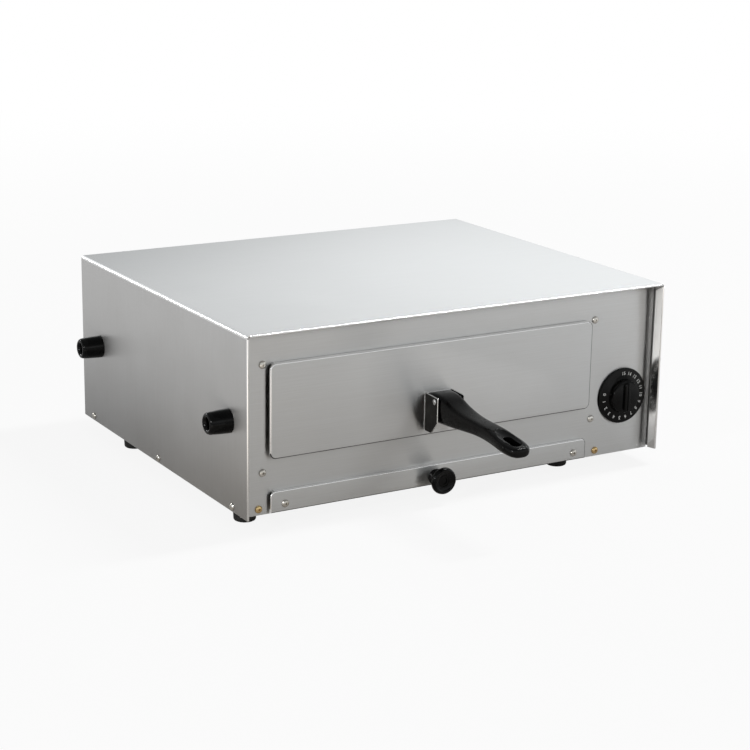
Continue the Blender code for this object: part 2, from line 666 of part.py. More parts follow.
# Heating elements: one bent tube each, cold ends through the chamber's back, on a strip across the walls
ELEMENT_FRONT = BEHIND_LIP + ELEMENT_FRONT_GAP
ELEMENT_TURN = CHAMBER_REAR - ELEMENT_REAR_GAP
STRIP_Y = (PANEL_RECESS + CHAMBER_REAR + 2 * ELEMENT_RADIUS + 8 * MM) / 2
for name, z in (("upper", UPPER_ELEMENT_Z), ("lower", LOWER_ELEMENT_Z)):
    outer_left, inner_left, inner_right, outer_right = (CHAMBER_X + leg for leg in ELEMENT_LEGS)
    path = [
        (outer_left, PIN_END - 8 * MM, z),
        (outer_left, ELEMENT_FRONT, z),
        (inner_left, ELEMENT_FRONT, z),
        (inner_left, ELEMENT_TURN, z),
        (inner_right, ELEMENT_TURN, z),
        (inner_right, ELEMENT_FRONT, z),
        (outer_right, ELEMENT_FRONT, z),
        (outer_right, PIN_END - 8 * MM, z),
    ]
    element = piece(name + "_element", tube(path, ELEMENT_RADIUS, 8, ELEMENT_BEND, 5), SHEATH)
    pins = []
    for across in (outer_left, outer_right):
        pin_start = PIN_END - 12 * MM
        pins.append(tube([(across, pin_start, z), (across, PIN_END, z)], 2 * MM, 8))
    weld(element, pins)
    strip_z = z - ELEMENT_RADIUS - FIT - SHEET / 2
    strip_path = [
        (WALL_LEFT + FIT + SHEET / 2, strip_z + STRIP_TAB),
        (WALL_LEFT + FIT + SHEET / 2, strip_z),
        (WALL_RIGHT - FIT - SHEET / 2, strip_z),
        (WALL_RIGHT - FIT - SHEET / 2, strip_z + STRIP_TAB),
    ]
    strip = prism(folded(strip_path, SHEET), "Y", STRIP_Y - STRIP_WIDTH / 2, STRIP_Y + STRIP_WIDTH / 2)
    piece(name + "_element_strip", strip, LINER)

# Side stand-offs: turned bakelite knobs with a spigot through the casing
standoff_profile = [
    (0, -3 * MM),
    (SPIGOT, -3 * MM),
    (SPIGOT, FIT),
    (STANDOFF_RADIUS, FIT),
    (STANDOFF_RADIUS, 4 * MM),
    (STANDOFF_RADIUS - 1 * MM, STANDOFF_LENGTH - 4 * MM),
    (STANDOFF_RADIUS - 1.7 * MM, STANDOFF_LENGTH - 1.5 * MM),
    (STANDOFF_RADIUS - 3.5 * MM, STANDOFF_LENGTH),
    (5.5 * MM, STANDOFF_LENGTH),
    (4.8 * MM, STANDOFF_LENGTH - 6 * MM),
    (0, STANDOFF_LENGTH - 6 * MM),
]
for side, side_name in ((-1, "left"), (1, "right")):
    for end, y in STANDOFF_PLACES.items():
        place = (side * HALF, y, STANDOFF_Z)
        placed("standoff_" + end + "_" + side_name, turned(standoff_profile, 20), BAKELITE, place,
               (0, side * math.pi / 2, 0))

# Feet: tapered rubber with a screw recess, spigot through the base
foot_profile = [
    (0, SHEET),
    (SPIGOT, SHEET),
    (SPIGOT, -FIT),
    (FOOT_TOP_RADIUS, -FIT),
    (FOOT_TOP_RADIUS, -3 * MM),
    (FOOT_BOTTOM_RADIUS + 0.6 * MM, -FOOT_HEIGHT - BASE_LIFT + 1.5 * MM),
    (FOOT_BOTTOM_RADIUS - 1 * MM, -FOOT_HEIGHT - BASE_LIFT),
    (4.5 * MM, -FOOT_HEIGHT - BASE_LIFT),
    (4.5 * MM, -FOOT_HEIGHT - BASE_LIFT + 6 * MM),
    (0, -FOOT_HEIGHT - BASE_LIFT + 6 * MM),
]
for name, (across, y) in FOOT_PLACES.items():
    placed(name, turned(foot_profile, 16), RUBBER, (across, y, BASE_LIFT))

# Screws: dome heads on the front panel, the tray front and the casing's sides
screw_profile = [
    (0, -SCREW_LENGTH),
    (SCREW_SHANK, -SCREW_LENGTH),
    (SCREW_SHANK, FIT),
    (SCREW_HEAD, FIT),
    (SCREW_HEAD * 0.95, 0.9 * MM),
    (SCREW_HEAD * 0.72, 1.7 * MM),
    (0, 2.3 * MM),
]
FACE_FRONT = (math.pi / 2, 0, 0)
for name, (across, up) in FRONT_SCREWS.items():
    placed(name, turned(screw_profile, 12), NICKEL, (across, PANEL_RECESS, up), FACE_FRONT)
for name, (across, up) in BASE_SCREWS.items():
    placed(name, turned(screw_profile, 12), BRASS, (across, PANEL_RECESS, up), FACE_FRONT)
for side, side_name in ((-1, "left"), (1, "right")):
    for spot, y in zip(("front", "middle", "rear"), CASING_SCREW_Y):
        place = (side * HALF, y, CASING_SCREW_Z)
        placed("casing_screw_" + side_name + "_" + spot, turned(screw_profile, 12), NICKEL, place,
               (0, side * math.pi / 2, 0))

# Timer, divider, thermostat, terminal block and gland: the compartment at the right
TIMER_HALF = TIMER_BODY / 2
timer_box = rounded((TIMER_X - TIMER_HALF, TIMER_Z - TIMER_HALF), (TIMER_X + TIMER_HALF, TIMER_Z + TIMER_HALF), 3 * MM)
timer_body = piece("timer_body", prism(timer_box, "Y", BEHIND_PANEL, BEHIND_PANEL + TIMER_DEPTH), MOULDING)
cut(timer_body, [rod_cut("Y", (TIMER_X, BEHIND_PANEL, TIMER_Z), SHAFT_RADIUS + FIT, 12 * MM, 16)])

DIVIDER_X = WALL_RIGHT + SHEET + DIVIDER_GAP
divider_path = [
    (DIVIDER_X - FOLD_LIP, BASE_TOP + FIT + SHEET + FIT + SHEET / 2),
    (DIVIDER_X, BASE_TOP + FIT + SHEET + FIT + SHEET / 2),
    (DIVIDER_X, CHAMBER_TOP + DIVIDER_RISE),
]
piece("divider_shield", prism(folded(divider_path, SHEET), "Y", BEHIND_LIP + FLANGE, CHAMBER_REAR - DIVIDER_SHORT), LINER)

thermostat_profile = [
    (0, -2 * MM),
    (5 * MM, -2 * MM),
    (5 * MM, SHEET + FIT),
    (9 * MM, SHEET + FIT),
    (9 * MM, SHEET + 6 * MM),
    (7 * MM, SHEET + 10 * MM),
    (0, SHEET + 10 * MM),
]
placed("limit_thermostat", turned(thermostat_profile, 16), MOULDING, (WALL_RIGHT, THERMOSTAT_Y, THERMOSTAT_Z),
       (0, math.pi / 2, 0))

BLOCK_Y = CHAMBER_REAR - BLOCK_BACK
BLOCK_TOP = BASE_TOP + FIT + BLOCK_HEIGHT
terminal_block = piece(
    "terminal_block",
    block(
        (GLAND_X - BLOCK_WIDTH / 2, BLOCK_Y, BASE_TOP + FIT),
        (GLAND_X + BLOCK_WIDTH / 2, BLOCK_Y + BLOCK_DEPTH, BLOCK_TOP),
    ),
    MOULDING,
    smooth=False,
)

gland_profile = [
    (4.5 * MM, -GLAND_PROUD),
    (7.5 * MM, -GLAND_PROUD),
    (9 * MM, -GLAND_PROUD + 2 * MM),
    (11 * MM, -3 * MM),
    (11 * MM, -FIT),
    (7 * MM, -FIT),
    (7 * MM, 13 * MM),
    (4.5 * MM, 13 * MM),
]
placed("cord_gland", turned(gland_profile, 16), BAKELITE, (GLAND_X, REAR_FACE, GLAND_Z), (math.pi / 2, 0, 0))

# Leads between the gland, block, timer, thermostat and the elements' cold ends
right_pin = CHAMBER_X + ELEMENT_OUTER_LEG
left_pin = CHAMBER_X - ELEMENT_OUTER_LEG
pin_y = PIN_END - 4 * MM
pin_gap = 2 * MM + FIT
timer_rear = BEHIND_PANEL + TIMER_DEPTH + FIT
block_rear = BLOCK_Y + BLOCK_DEPTH + FIT
leads = {
    "lead_timer": [
        (GLAND_X - LEAD_SPREAD, BLOCK_Y - FIT, BASE_TOP + LEAD_RISE),
        (GLAND_X - LEAD_SPREAD, timer_rear + 30 * MM, BASE_TOP + LEAD_RISE),
        (GLAND_X - LEAD_SPREAD, timer_rear + 30 * MM, TIMER_Z),
        (GLAND_X - LEAD_SPREAD, timer_rear, TIMER_Z),
    ],
    "lead_thermostat": [
        (TIMER_X + 10 * MM, timer_rear, TIMER_Z),
        (TIMER_X + 10 * MM, timer_rear + 40 * MM, TIMER_Z),
        (TIMER_X + 10 * MM, THERMOSTAT_Y, THERMOSTAT_Z),
        (WALL_RIGHT + SHEET + 10 * MM + FIT, THERMOSTAT_Y, THERMOSTAT_Z),
    ],
    "lead_upper": [
        (GLAND_X + LEAD_SPREAD, block_rear, BASE_TOP + LEAD_RISE),
        (GLAND_X + LEAD_SPREAD, pin_y, BASE_TOP + LEAD_RISE),
        (GLAND_X + 24 * MM, pin_y, CHAMBER_TOP + 4 * MM),
        (right_pin, pin_y, CHAMBER_TOP + 4 * MM),
        (right_pin, pin_y, UPPER_ELEMENT_Z + pin_gap),
    ],
    "lead_lower": [
        (GLAND_X - LEAD_SPREAD, block_rear, BASE_TOP + LEAD_RISE),
        (GLAND_X - LEAD_SPREAD, pin_y, BASE_TOP + LEAD_RISE),
        (right_pin, pin_y, BASE_TOP + LEAD_RISE),
        (right_pin, pin_y, LOWER_ELEMENT_Z - pin_gap),
    ],
    "lead_link": [
        (left_pin, pin_y, LOWER_ELEMENT_Z + pin_gap),
        (left_pin, pin_y, UPPER_ELEMENT_Z - pin_gap),
    ],
}
for name, path in leads.items():
    piece(name, tube(path, LEAD_RADIUS, 6, LEAD_BEND if len(path) > 2 else 0, 3), LEAD)

# Rack drawer: door plate, bracket, handle, pin, rack and the clips that hang the rack on the door
door_left = CHAMBER_X - DOOR_WIDTH / 2
door_right = CHAMBER_X + DOOR_WIDTH / 2
door_outline = rounded((door_left, DOOR_BOTTOM), (door_right, DOOR_BOTTOM + DOOR_HEIGHT), DOOR_CORNER, 5)
door_panel = piece("door_panel", prism(door_outline, "Y", DOOR_FRONT, DOOR_BACK), STAINLESS, rack_drawer)

bracket_back = DOOR_FRONT - FIT
bracket_front = DOOR_FRONT - BRACKET_REACH
cheek = [
    (bracket_back, BRACKET_BOTTOM),
    (bracket_back, BRACKET_TOP),
    (bracket_front, BRACKET_TOP - 1 * MM),
    (bracket_front, BRACKET_BOTTOM + 12.8 * MM),
    (bracket_front + 10.5 * MM, BRACKET_BOTTOM + 0.3 * MM),
]
bracket_half = BRACKET_WIDTH / 2
handle_bracket = piece(
    "handle_bracket",
    prism(cheek, "X", CHAMBER_X - bracket_half, CHAMBER_X + bracket_half),
    STAINLESS,
    rack_drawer,
)
inside = bracket_half - BRACKET_SHEET
PIN_Y = bracket_front + 5.7 * MM
PIN_Z = BRACKET_TOP - 5.5 * MM
cut(
    handle_bracket,
    [
        block(
            (CHAMBER_X - inside, bracket_front - 5 * MM, BRACKET_BOTTOM - 5 * MM),
            (CHAMBER_X + inside, bracket_back - BRACKET_SHEET, BRACKET_TOP + 5 * MM),
        ),
        rod_cut("X", (CHAMBER_X, PIN_Y, PIN_Z), PIN_RADIUS + FIT, BRACKET_WIDTH),
    ],
)

# Handle: sections lofted from a square root to a narrow neck and a flat ring at the tip
HANDLE_ROOT_WIDTH = 2 * (inside - FIT)
HANDLE_SECTIONS = [
    (0.00, HANDLE_ROOT_WIDTH, 67.0 * MM, 95.6 * MM),
    (0.12, HANDLE_ROOT_WIDTH - 0.4 * MM, 67.2 * MM, 95.4 * MM),
    (0.24, HANDLE_ROOT_WIDTH - 2.2 * MM, 68.0 * MM, 90.2 * MM),
    (0.36, HANDLE_NECK_WIDTH + 3 * MM, 69.4 * MM, 86.6 * MM),
    (0.48, HANDLE_NECK_WIDTH + 0.5 * MM, 70.7 * MM, 85.1 * MM),
    (0.60, HANDLE_NECK_WIDTH, 70.9 * MM, 84.6 * MM),
    (0.72, HANDLE_NECK_WIDTH + 2.3 * MM, 70.1 * MM, 83.4 * MM),
    (0.82, HANDLE_TIP_WIDTH - 1.6 * MM, 68.7 * MM, 80.6 * MM),
    (0.90, HANDLE_TIP_WIDTH, 67.7 * MM, 79.0 * MM),
    (0.96, HANDLE_TIP_WIDTH - 3.6 * MM, 67.1 * MM, 77.5 * MM),
    (1.00, HANDLE_TIP_WIDTH - 14.5 * MM, 68.2 * MM, 76.4 * MM),
]
handle_back = DOOR_FRONT - HANDLE_START
bm = bmesh.new()
rings = []
for share, width, low, high in HANDLE_SECTIONS:
    corner = min(width, high - low) * 0.3
    outline = rounded((-width / 2, low), (width / 2, high), corner, 3)
    y = handle_back - share * HANDLE_LENGTH
    rings.append([bm.verts.new((CHAMBER_X + across, y, up)) for across, up in outline])
for first, second in zip(rings, rings[1:]):
    for index in range(len(first)):
        after = (index + 1) % len(first)
        bm.faces.new((first[index], first[after], second[after], second[index]))
bm.faces.new(rings[0])
bm.faces.new(rings[-1])
handle = piece("handle", bm, BAKELITE, rack_drawer)
hang_y = handle_back - 0.873 * HANDLE_LENGTH
hang = rounded(
    (CHAMBER_X - HANG_WIDTH / 2, hang_y - HANG_LENGTH / 2),
    (CHAMBER_X + HANG_WIDTH / 2, hang_y + HANG_LENGTH / 2),
    HANG_WIDTH / 2 * 0.995,
    4,
)
cut(
    handle,
    [
        prism(hang, "Z", 55 * MM, 95 * MM),
        rod_cut("X", (CHAMBER_X, PIN_Y, PIN_Z), PIN_RADIUS + FIT, BRACKET_WIDTH),
    ],
)
pin_reach = bracket_half + FIT
pin_profile = [
    (0, -pin_reach - 1.5 * MM),
    (2.4 * MM, -pin_reach - 1.5 * MM),
    (3.4 * MM, -pin_reach - 0.5 * MM),
    (3.4 * MM, -pin_reach),
    (PIN_RADIUS, -pin_reach),
    (PIN_RADIUS, pin_reach),
    (3.4 * MM, pin_reach),
    (3.4 * MM, pin_reach + 0.5 * MM),
    (2.4 * MM, pin_reach + 1.5 * MM),
    (0, pin_reach + 1.5 * MM),
]
placed("handle_pin", turned(pin_profile, 12), NICKEL, (CHAMBER_X, PIN_Y, PIN_Z), (0, math.pi / 2, 0), rack_drawer)

# Rack: a closed rod frame with two cross rods, wires laid along it and welded where they rest
RACK_HALF = CHAMBER_WIDTH / 2 - FIT - SHEET - RACK_SIDE_PLAY - RACK_ROD
RACK_FRONT = PANEL_BACK + 9 * MM
RACK_REAR = CHAMBER_REAR - FIT - RACK_ROD - 1 * MM
frame_path = [
    (CHAMBER_X - RACK_HALF, RACK_FRONT, RACK_Z),
    (CHAMBER_X + RACK_HALF, RACK_FRONT, RACK_Z),
    (CHAMBER_X + RACK_HALF, RACK_REAR, RACK_Z),
    (CHAMBER_X - RACK_HALF, RACK_REAR, RACK_Z),
]
wire_rack = piece("wire_rack", tube(frame_path, RACK_ROD, 8, 9 * MM, 3, True), CHROME, rack_drawer)
bars = []
for share in (0.36, 0.7):
    y = RACK_FRONT + share * (RACK_REAR - RACK_FRONT)
    bars.append(tube([(CHAMBER_X - RACK_HALF, y, RACK_Z), (CHAMBER_X + RACK_HALF, y, RACK_Z)], 0.84 * RACK_ROD, 8))
wire_z = RACK_Z + RACK_ROD * 0.84 + RACK_WIRE * 0.55
wire_spread = RACK_HALF - 18 * MM
for index in range(RACK_WIRES):
    across = CHAMBER_X - wire_spread + 2 * wire_spread * index / (RACK_WIRES - 1)
    bars.append(tube([(across, RACK_FRONT - MM, wire_z), (across, RACK_REAR + MM, wire_z)], RACK_WIRE, 6))
weld(wire_rack, bars)

# Clips: folded strips behind the door that hook over the rack's front rod
for side, name in ((-1, "left"), (1, "right")):
    middle = CHAMBER_X + side * 95 * MM
    clip_low = RACK_Z - RACK_ROD - FIT - SHEET / 2
    clip_path = [
        (DOOR_BACK + FIT + SHEET / 2, RACK_Z + 16 * MM),
        (DOOR_BACK + FIT + SHEET / 2, clip_low),
        (RACK_FRONT + RACK_ROD + FIT + SHEET / 2, clip_low),
        (RACK_FRONT + RACK_ROD + FIT + SHEET / 2, RACK_Z + 0.5 * MM),
    ]
    clip = prism(folded(clip_path, SHEET, 1.0 * MM, 2), "X", middle - 7 * MM, middle + 7 * MM)
    piece("rack_clip_" + name, clip, STAINLESS, rack_drawer)

# Crumb tray: pan, front plate, knob and the screws between them
tray_half = CHAMBER_WIDTH / 2 - TRAY_PLAY
tray_plate_front = PANEL_RECESS - TRAY_FRONT_GAP - SHEET
tray_plate_back = PANEL_RECESS - TRAY_FRONT_GAP
pan_front = tray_plate_back + FIT
pan_low = BASE_TOP + FIT
pan_rear = CHAMBER_REAR - 3 * MM
tray_form = pan(
    (CHAMBER_X - tray_half + SHEET / 2, pan_front + SHEET / 2),
    (CHAMBER_X + tray_half - SHEET / 2, pan_rear - SHEET / 2),
    "Z",
    pan_low + SHEET / 2,
    pan_low + TRAY_RIM,
)
tray_pan = thickened(piece("tray_pan", tray_form, LINER, crumb_tray), SHEET)
TRAY_SCREWS = {
    "tray_screw_left": (WALL_LEFT + TRAY_SCREW_IN_LEFT, TRAY_SCREW_Z),
    "tray_screw_right": (WALL_RIGHT - TRAY_SCREW_IN_RIGHT, TRAY_SCREW_Z),
}


def tray_holes():
    """Clearance holes for the plate's screws and the knob's screw."""
    made = []
    for across, up in [*TRAY_SCREWS.values(), (CHAMBER_X, TRAY_KNOB_Z)]:
        made.append(rod_cut("Y", (across, pan_front, up), SCREW_SHANK + FIT, 4 * SHEET))
    return made


cut(tray_pan, tray_holes())
plate_outline = rounded(
    (CHAMBER_X - TRAY_FRONT_WIDTH / 2, 0),
    (CHAMBER_X + TRAY_FRONT_WIDTH / 2, TRAY_FRONT_HEIGHT),
    5 * MM,
    4,
    square=(0, 1),
)
tray_front = piece("tray_front", prism(plate_outline, "Y", tray_plate_front, tray_plate_back), STAINLESS, crumb_tray)
cut(tray_front, tray_holes())
for name, (across, up) in TRAY_SCREWS.items():
    placed(name, turned(screw_profile, 12), NICKEL, (across, tray_plate_front, up), FACE_FRONT, crumb_tray)

reach = TRAY_KNOB_LENGTH
knob_profile = [
    (0, FIT),
    (7.5 * MM, FIT),
    (6.5 * MM, 4 * MM),
    (7.5 * MM, reach - 10 * MM),
    (TRAY_KNOB_RADIUS - 1 * MM, reach - 6.5 * MM),
    (TRAY_KNOB_RADIUS, reach - 4 * MM),
    (TRAY_KNOB_RADIUS - 0.6 * MM, reach - 1.2 * MM),
    (TRAY_KNOB_RADIUS - 2.2 * MM, reach),
    (TRAY_KNOB_RADIUS - 4 * MM, reach - 0.6 * MM),
    (5 * MM, reach - 2 * MM),
    (0, reach - 2.3 * MM),
]
tray_knob = placed("tray_knob", turned(knob_profile, 24), BAKELITE, (CHAMBER_X, tray_plate_front, TRAY_KNOB_Z), FACE_FRONT,
                   crumb_tray)
cut(tray_knob, [rod_cut("Z", (0, 0, 0), SCREW_SHANK + FIT, reach - 8 * MM)])
knob_screw_profile = [
    (0, -3 * SHEET - 2 * FIT - 2.4 * MM),
    (SCREW_HEAD * 0.7, -2 * SHEET - 2 * FIT - 2.2 * MM),
    (SCREW_HEAD, -2 * SHEET - 2 * FIT - 0.6 * MM),
    (SCREW_HEAD, -2 * SHEET - 2 * FIT),
    (SCREW_SHANK, -2 * SHEET - 2 * FIT),
    (SCREW_SHANK, reach - 9 * MM),
    (0, reach - 9 * MM),
]
placed("tray_knob_screw", turned(knob_screw_profile, 12), NICKEL, (CHAMBER_X, tray_plate_front, TRAY_KNOB_Z), FACE_FRONT,
       crumb_tray)

# Timer dial: skirt and boss turned, the grip bar across it, on the timer's shaft
skirt_back = 1.2 * MM
dial_profile = [
    (0, skirt_back),
    (DIAL_RADIUS - 0.8 * MM, skirt_back),
    (DIAL_RADIUS, skirt_back + 0.6 * MM),
    (DIAL_RADIUS, skirt_back + DIAL_SKIRT - 0.7 * MM),
    (DIAL_RADIUS - 0.8 * MM, skirt_back + DIAL_SKIRT - 0.2 * MM),
    (DIAL_BOSS_RADIUS + 1 * MM, skirt_back + DIAL_SKIRT),
    (DIAL_BOSS_RADIUS, skirt_back + DIAL_SKIRT + DIAL_BOSS_HEIGHT - 1.5 * MM),
    (DIAL_BOSS_RADIUS - 1.5 * MM, skirt_back + DIAL_SKIRT + DIAL_BOSS_HEIGHT),
    (0, skirt_back + DIAL_SKIRT + DIAL_BOSS_HEIGHT),
]
DIAL_TOP = skirt_back + DIAL_SKIRT + DIAL_BAR_HEIGHT
timer_knob = placed("timer_knob", turned(dial_profile, 32), BAKELITE, (TIMER_X, PANEL_RECESS, TIMER_Z), FACE_FRONT,
                    timer_dial)
bar = rounded(
    (-DIAL_BAR_WIDTH / 2, -DIAL_BAR_LENGTH / 2),
    (DIAL_BAR_WIDTH / 2, DIAL_BAR_LENGTH / 2),
    DIAL_BAR_WIDTH * 0.35,
    3,
)
weld(timer_knob, [prism(bar, "Z", skirt_back + DIAL_SKIRT / 2, DIAL_TOP)])
cut(timer_knob, [rod_cut("Z", (0, 0, 0), SHAFT_RADIUS + FIT, DIAL_TOP - 5 * MM, 16)])
shaft_front = DIAL_TOP - 6 * MM
shaft_back = -SHEET - FIT - 10 * MM
shaft_profile = [
    (0, shaft_back),
    (SHAFT_RADIUS, shaft_back),
    (SHAFT_RADIUS, shaft_front),
    (0, shaft_front),
]
placed("timer_shaft", turned(shaft_profile, 16), NICKEL, (TIMER_X, PANEL_RECESS, TIMER_Z), FACE_FRONT, timer_dial)
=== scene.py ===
import math

import bmesh
import bpy
from mathutils import Matrix, Vector


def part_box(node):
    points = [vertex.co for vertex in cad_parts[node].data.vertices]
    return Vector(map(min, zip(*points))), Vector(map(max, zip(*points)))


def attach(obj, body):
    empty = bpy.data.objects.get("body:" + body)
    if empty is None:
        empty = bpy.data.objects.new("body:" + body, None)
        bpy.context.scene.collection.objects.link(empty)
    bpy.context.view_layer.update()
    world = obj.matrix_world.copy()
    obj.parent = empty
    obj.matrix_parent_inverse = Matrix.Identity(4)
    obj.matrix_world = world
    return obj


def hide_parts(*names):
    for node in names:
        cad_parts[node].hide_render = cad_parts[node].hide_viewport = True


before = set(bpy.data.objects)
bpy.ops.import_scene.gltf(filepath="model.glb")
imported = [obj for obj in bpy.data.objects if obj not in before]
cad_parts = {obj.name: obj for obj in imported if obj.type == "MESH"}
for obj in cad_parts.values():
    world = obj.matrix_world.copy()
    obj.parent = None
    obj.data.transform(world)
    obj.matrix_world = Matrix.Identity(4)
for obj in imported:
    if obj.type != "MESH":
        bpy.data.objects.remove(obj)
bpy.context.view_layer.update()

# Base pan: the tray that everything else stands on, pressed from aluminised sheet.
# Its rims are folded up and screwed to the casing, and its cut edges are left as the press eases them.
# Forms made here are in mm from the casing's front edge, the middle of its width and the base's underside.
MM = 0.001
CASING_FRONT, BASE_UNDERSIDE = -0.12935, 0.016
OVEN = Matrix.Translation((0, CASING_FRONT, BASE_UNDERSIDE)) @ Matrix.Scale(MM, 4)


class Signal:
    """One output of a shader node. Arithmetic on it adds Math nodes, and node() adds any other kind."""

    def __init__(self, tree, socket):
        self.tree = tree
        self.socket = socket

    def node(self, kind, settings=None, sockets=None, output=0):
        added = self.tree.nodes.new(kind)
        for name, value in (settings or {}).items():
            setattr(added, name, value)
        for name, value in (sockets or {}).items():
            if isinstance(value, Signal):
                self.tree.links.new(value.socket, added.inputs[name])
            else:
                added.inputs[name].default_value = value
        return Signal(self.tree, added.outputs[output])

    def reckon(self, operation, first, second):
        return self.node("ShaderNodeMath", {"operation": operation}, {0: first, 1: second})

    def __add__(self, other):
        return self.reckon("ADD", self, other)

    def __sub__(self, other):
        return self.reckon("SUBTRACT", self, other)

    def __rsub__(self, other):
        return self.reckon("SUBTRACT", other, self)

    def __mul__(self, other):
        return self.reckon("MULTIPLY", self, other)

    __radd__ = __add__
    __rmul__ = __mul__

    def spread(self, low, high, start=0.0, end=1.0):
        """This value stretched from low..high to start..end and held there."""
        sockets = {"Value": self, "From Min": low, "From Max": high, "To Min": start, "To Max": end}
        return self.node("ShaderNodeMapRange", {"interpolation_type": "SMOOTHSTEP"}, sockets)

    def tint(self, first, second):
        """A colour that goes from first to second as this value goes from 0 to 1."""
        shades = []
        for shade in (first, second):
            shades.append(shade if isinstance(shade, Signal) else (*shade, 1.0))
        return self.node("ShaderNodeMix", {"data_type": "RGBA"}, {0: self, 6: shades[0], 7: shades[1]}, 2)


def new_finish(name, **constants):
    """A material with its constant sockets set, and the place on the surface that its patterns read."""
    finish = bpy.data.materials.new(name)
    finish.use_nodes = True
    shader = finish.node_tree.nodes["Principled BSDF"]
    for socket, value in constants.items():
        shader.inputs[socket.replace("_", " ")].default_value = value
    spot = finish.node_tree.nodes.new("ShaderNodeTexCoord")
    return finish, Signal(finish.node_tree, spot.outputs["Object"])


def feed(finish, **signals):
    """Links what changes over the surface to the material's shader."""
    shader = finish.node_tree.nodes["Principled BSDF"]
    for socket, signal in signals.items():
        finish.node_tree.links.new(signal.socket, shader.inputs[socket.replace("_", " ")])


def grain(place, stretch, detail=3.0, rough=0.55):
    """Noise with its own number of cells per metre along each axis."""
    turned_place = place.node("ShaderNodeMapping", {}, {"Vector": place, "Scale": stretch})
    sockets = {"Vector": turned_place, "Scale": 1.0, "Detail": detail, "Roughness": rough}
    return place.node("ShaderNodeTexNoise", {}, sockets)


def relief(height, strength, distance):
    """The surface's normal raised by a height."""
    return height.node("ShaderNodeBump", {}, {"Height": height, "Strength": strength, "Distance": distance})


def aluminised(name, scorch):
    """Aluminised sheet: dull silver with a faint spangle, browned where the oven's heat reaches it."""
    finish, place = new_finish(name, Metallic=1.0)
    spangle = place.node("ShaderNodeTexVoronoi", {}, {"Vector": place, "Scale": 260.0}, 1)
    flake = spangle.node("ShaderNodeSeparateColor", {}, {"Color": spangle})
    cloud = grain(place, (16, 16, 16), 5.0, 0.6)
    rolled = grain(place, (700, 9, 700), 2.0)
    plain = (flake * 0.3 + rolled * 0.7).tint((0.43, 0.43, 0.42), (0.57, 0.57, 0.555))
    browned = cloud.tint((0.36, 0.30, 0.235), (0.47, 0.42, 0.34))
    feed(
        finish,
        Base_Color=(cloud.spread(0.42, 0.68) * scorch).tint(plain, browned),
        Roughness=(flake * 0.1 + cloud * 0.2 + 0.26),
        Normal=relief(rolled * 0.7 + flake * 0.3, 0.12, 0.0002),
    )
    return finish


def pressed_sheet(node):
    """A merged copy of one of the frame's sheet pieces, for its eased edges to be added to."""
    work = bmesh.new()
    work.from_mesh(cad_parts[node].data)
    bmesh.ops.remove_doubles(work, verts=work.verts, dist=0.002 * MM)
    bmesh.ops.dissolve_limit(work, angle_limit=math.radians(0.5), verts=work.verts, edges=work.edges)
    return work


def add_piece(name, work, body, finishes, nodes, edge=0.0, steps=2, crease=35, edge_finish=-1):
    """Turns a form into a piece of the oven that rides on a body, with its sharp edges eased by edge mm."""
    mesh = bpy.data.meshes.new(name)
    work.to_mesh(mesh)
    work.free()
    for finish in finishes:
        mesh.materials.append(finish)
    for face in mesh.polygons:
        face.use_smooth = True
    mesh.set_sharp_from_angle(angle=math.radians(crease))
    made = bpy.data.objects.new(name, mesh)
    bpy.context.scene.collection.objects.link(made)
    if edge:
        eased = made.modifiers.new("eased edges", "BEVEL")
        eased.limit_method = "ANGLE"
        eased.angle_limit = math.radians(crease)
        eased.width = edge * MM
        eased.segments = steps
        eased.harden_normals = True
        eased.material = edge_finish
    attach(made, body)
    if nodes:
        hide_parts(*nodes)


def add_sheet(name, node, body, finish, edge=0.2):
    """A piece with the form of one of the frame's sheet pieces, in its place."""
    add_piece(name, pressed_sheet(node), body, [finish], [node], edge)


base_sheet = aluminised("base_sheet", 0.25)
add_sheet("base", "base_pan", "oven", base_sheet, 0.25)


# Feet: four tapered rubber feet pushed through the base, each with a hollow for its screw.
# Moulded rubber, matte, greyed with dust in patches.
def turned(profile, steps=48):
    """A form turned about Z from points of radius and height, in mm."""
    work = bmesh.new()
    corners = [work.verts.new((radius, 0, height)) for radius, height in profile]
    sides = [work.edges.new(pair) for pair in zip(corners, corners[1:])]
    bmesh.ops.spin(
        work,
        geom=corners + sides,
        cent=(0, 0, 0),
        axis=(0, 0, 1),
        angle=2 * math.pi,
        steps=steps,
        use_merge=True,
    )
    bmesh.ops.remove_doubles(work, verts=work.verts, dist=0.001)
    bmesh.ops.recalc_face_normals(work, faces=work.faces)
    return work


def set_down(work, place, turn=None):
    """Moves a form made in mm at the origin to its place on the oven, turned by a matrix first if given."""
    turning = Matrix() if turn is None else turn
    bmesh.ops.transform(work, matrix=OVEN @ Matrix.Translation(place) @ turning, verts=work.verts)
    return work


foot_rubber, place = new_finish("foot_rubber", Specular_IOR_Level=0.35)
speckle = grain(place, (900, 900, 900), 4.0, 0.7)
dust = grain(place, (60, 60, 160), 4.0)
feed(
    foot_rubber,
    Base_Color=dust.spread(0.45, 0.75).tint((0.014, 0.014, 0.014), (0.05, 0.048, 0.045)),
    Roughness=speckle * 0.25 + 0.55,
    Normal=relief(speckle, 0.25, 0.0002),
)
foot_profile = [
    (0, 1),
    (3.5, 1),
    (3.5, -0.3),
    (12, -0.3),
    (12, -3),
    (11.8, -3.6),
    (11.3, -3.9),
    (10.6, -15.4),
    (10.2, -16.4),
    (9.2, -17),
    (5.6, -17),
    (4.7, -16.2),
    (4.5, -11),
    (0, -11),
]
base_top = 1
for end, along in (("front", 47), ("rear", 301)):
    for side_name, across in (("left", -214), ("right", 143)):
        node = "foot_" + end + "_" + side_name
        foot = set_down(turned(foot_profile), (across, along, base_top))
        add_piece(node + "_rubber", foot, "oven", [foot_rubber], [node], 0.3)

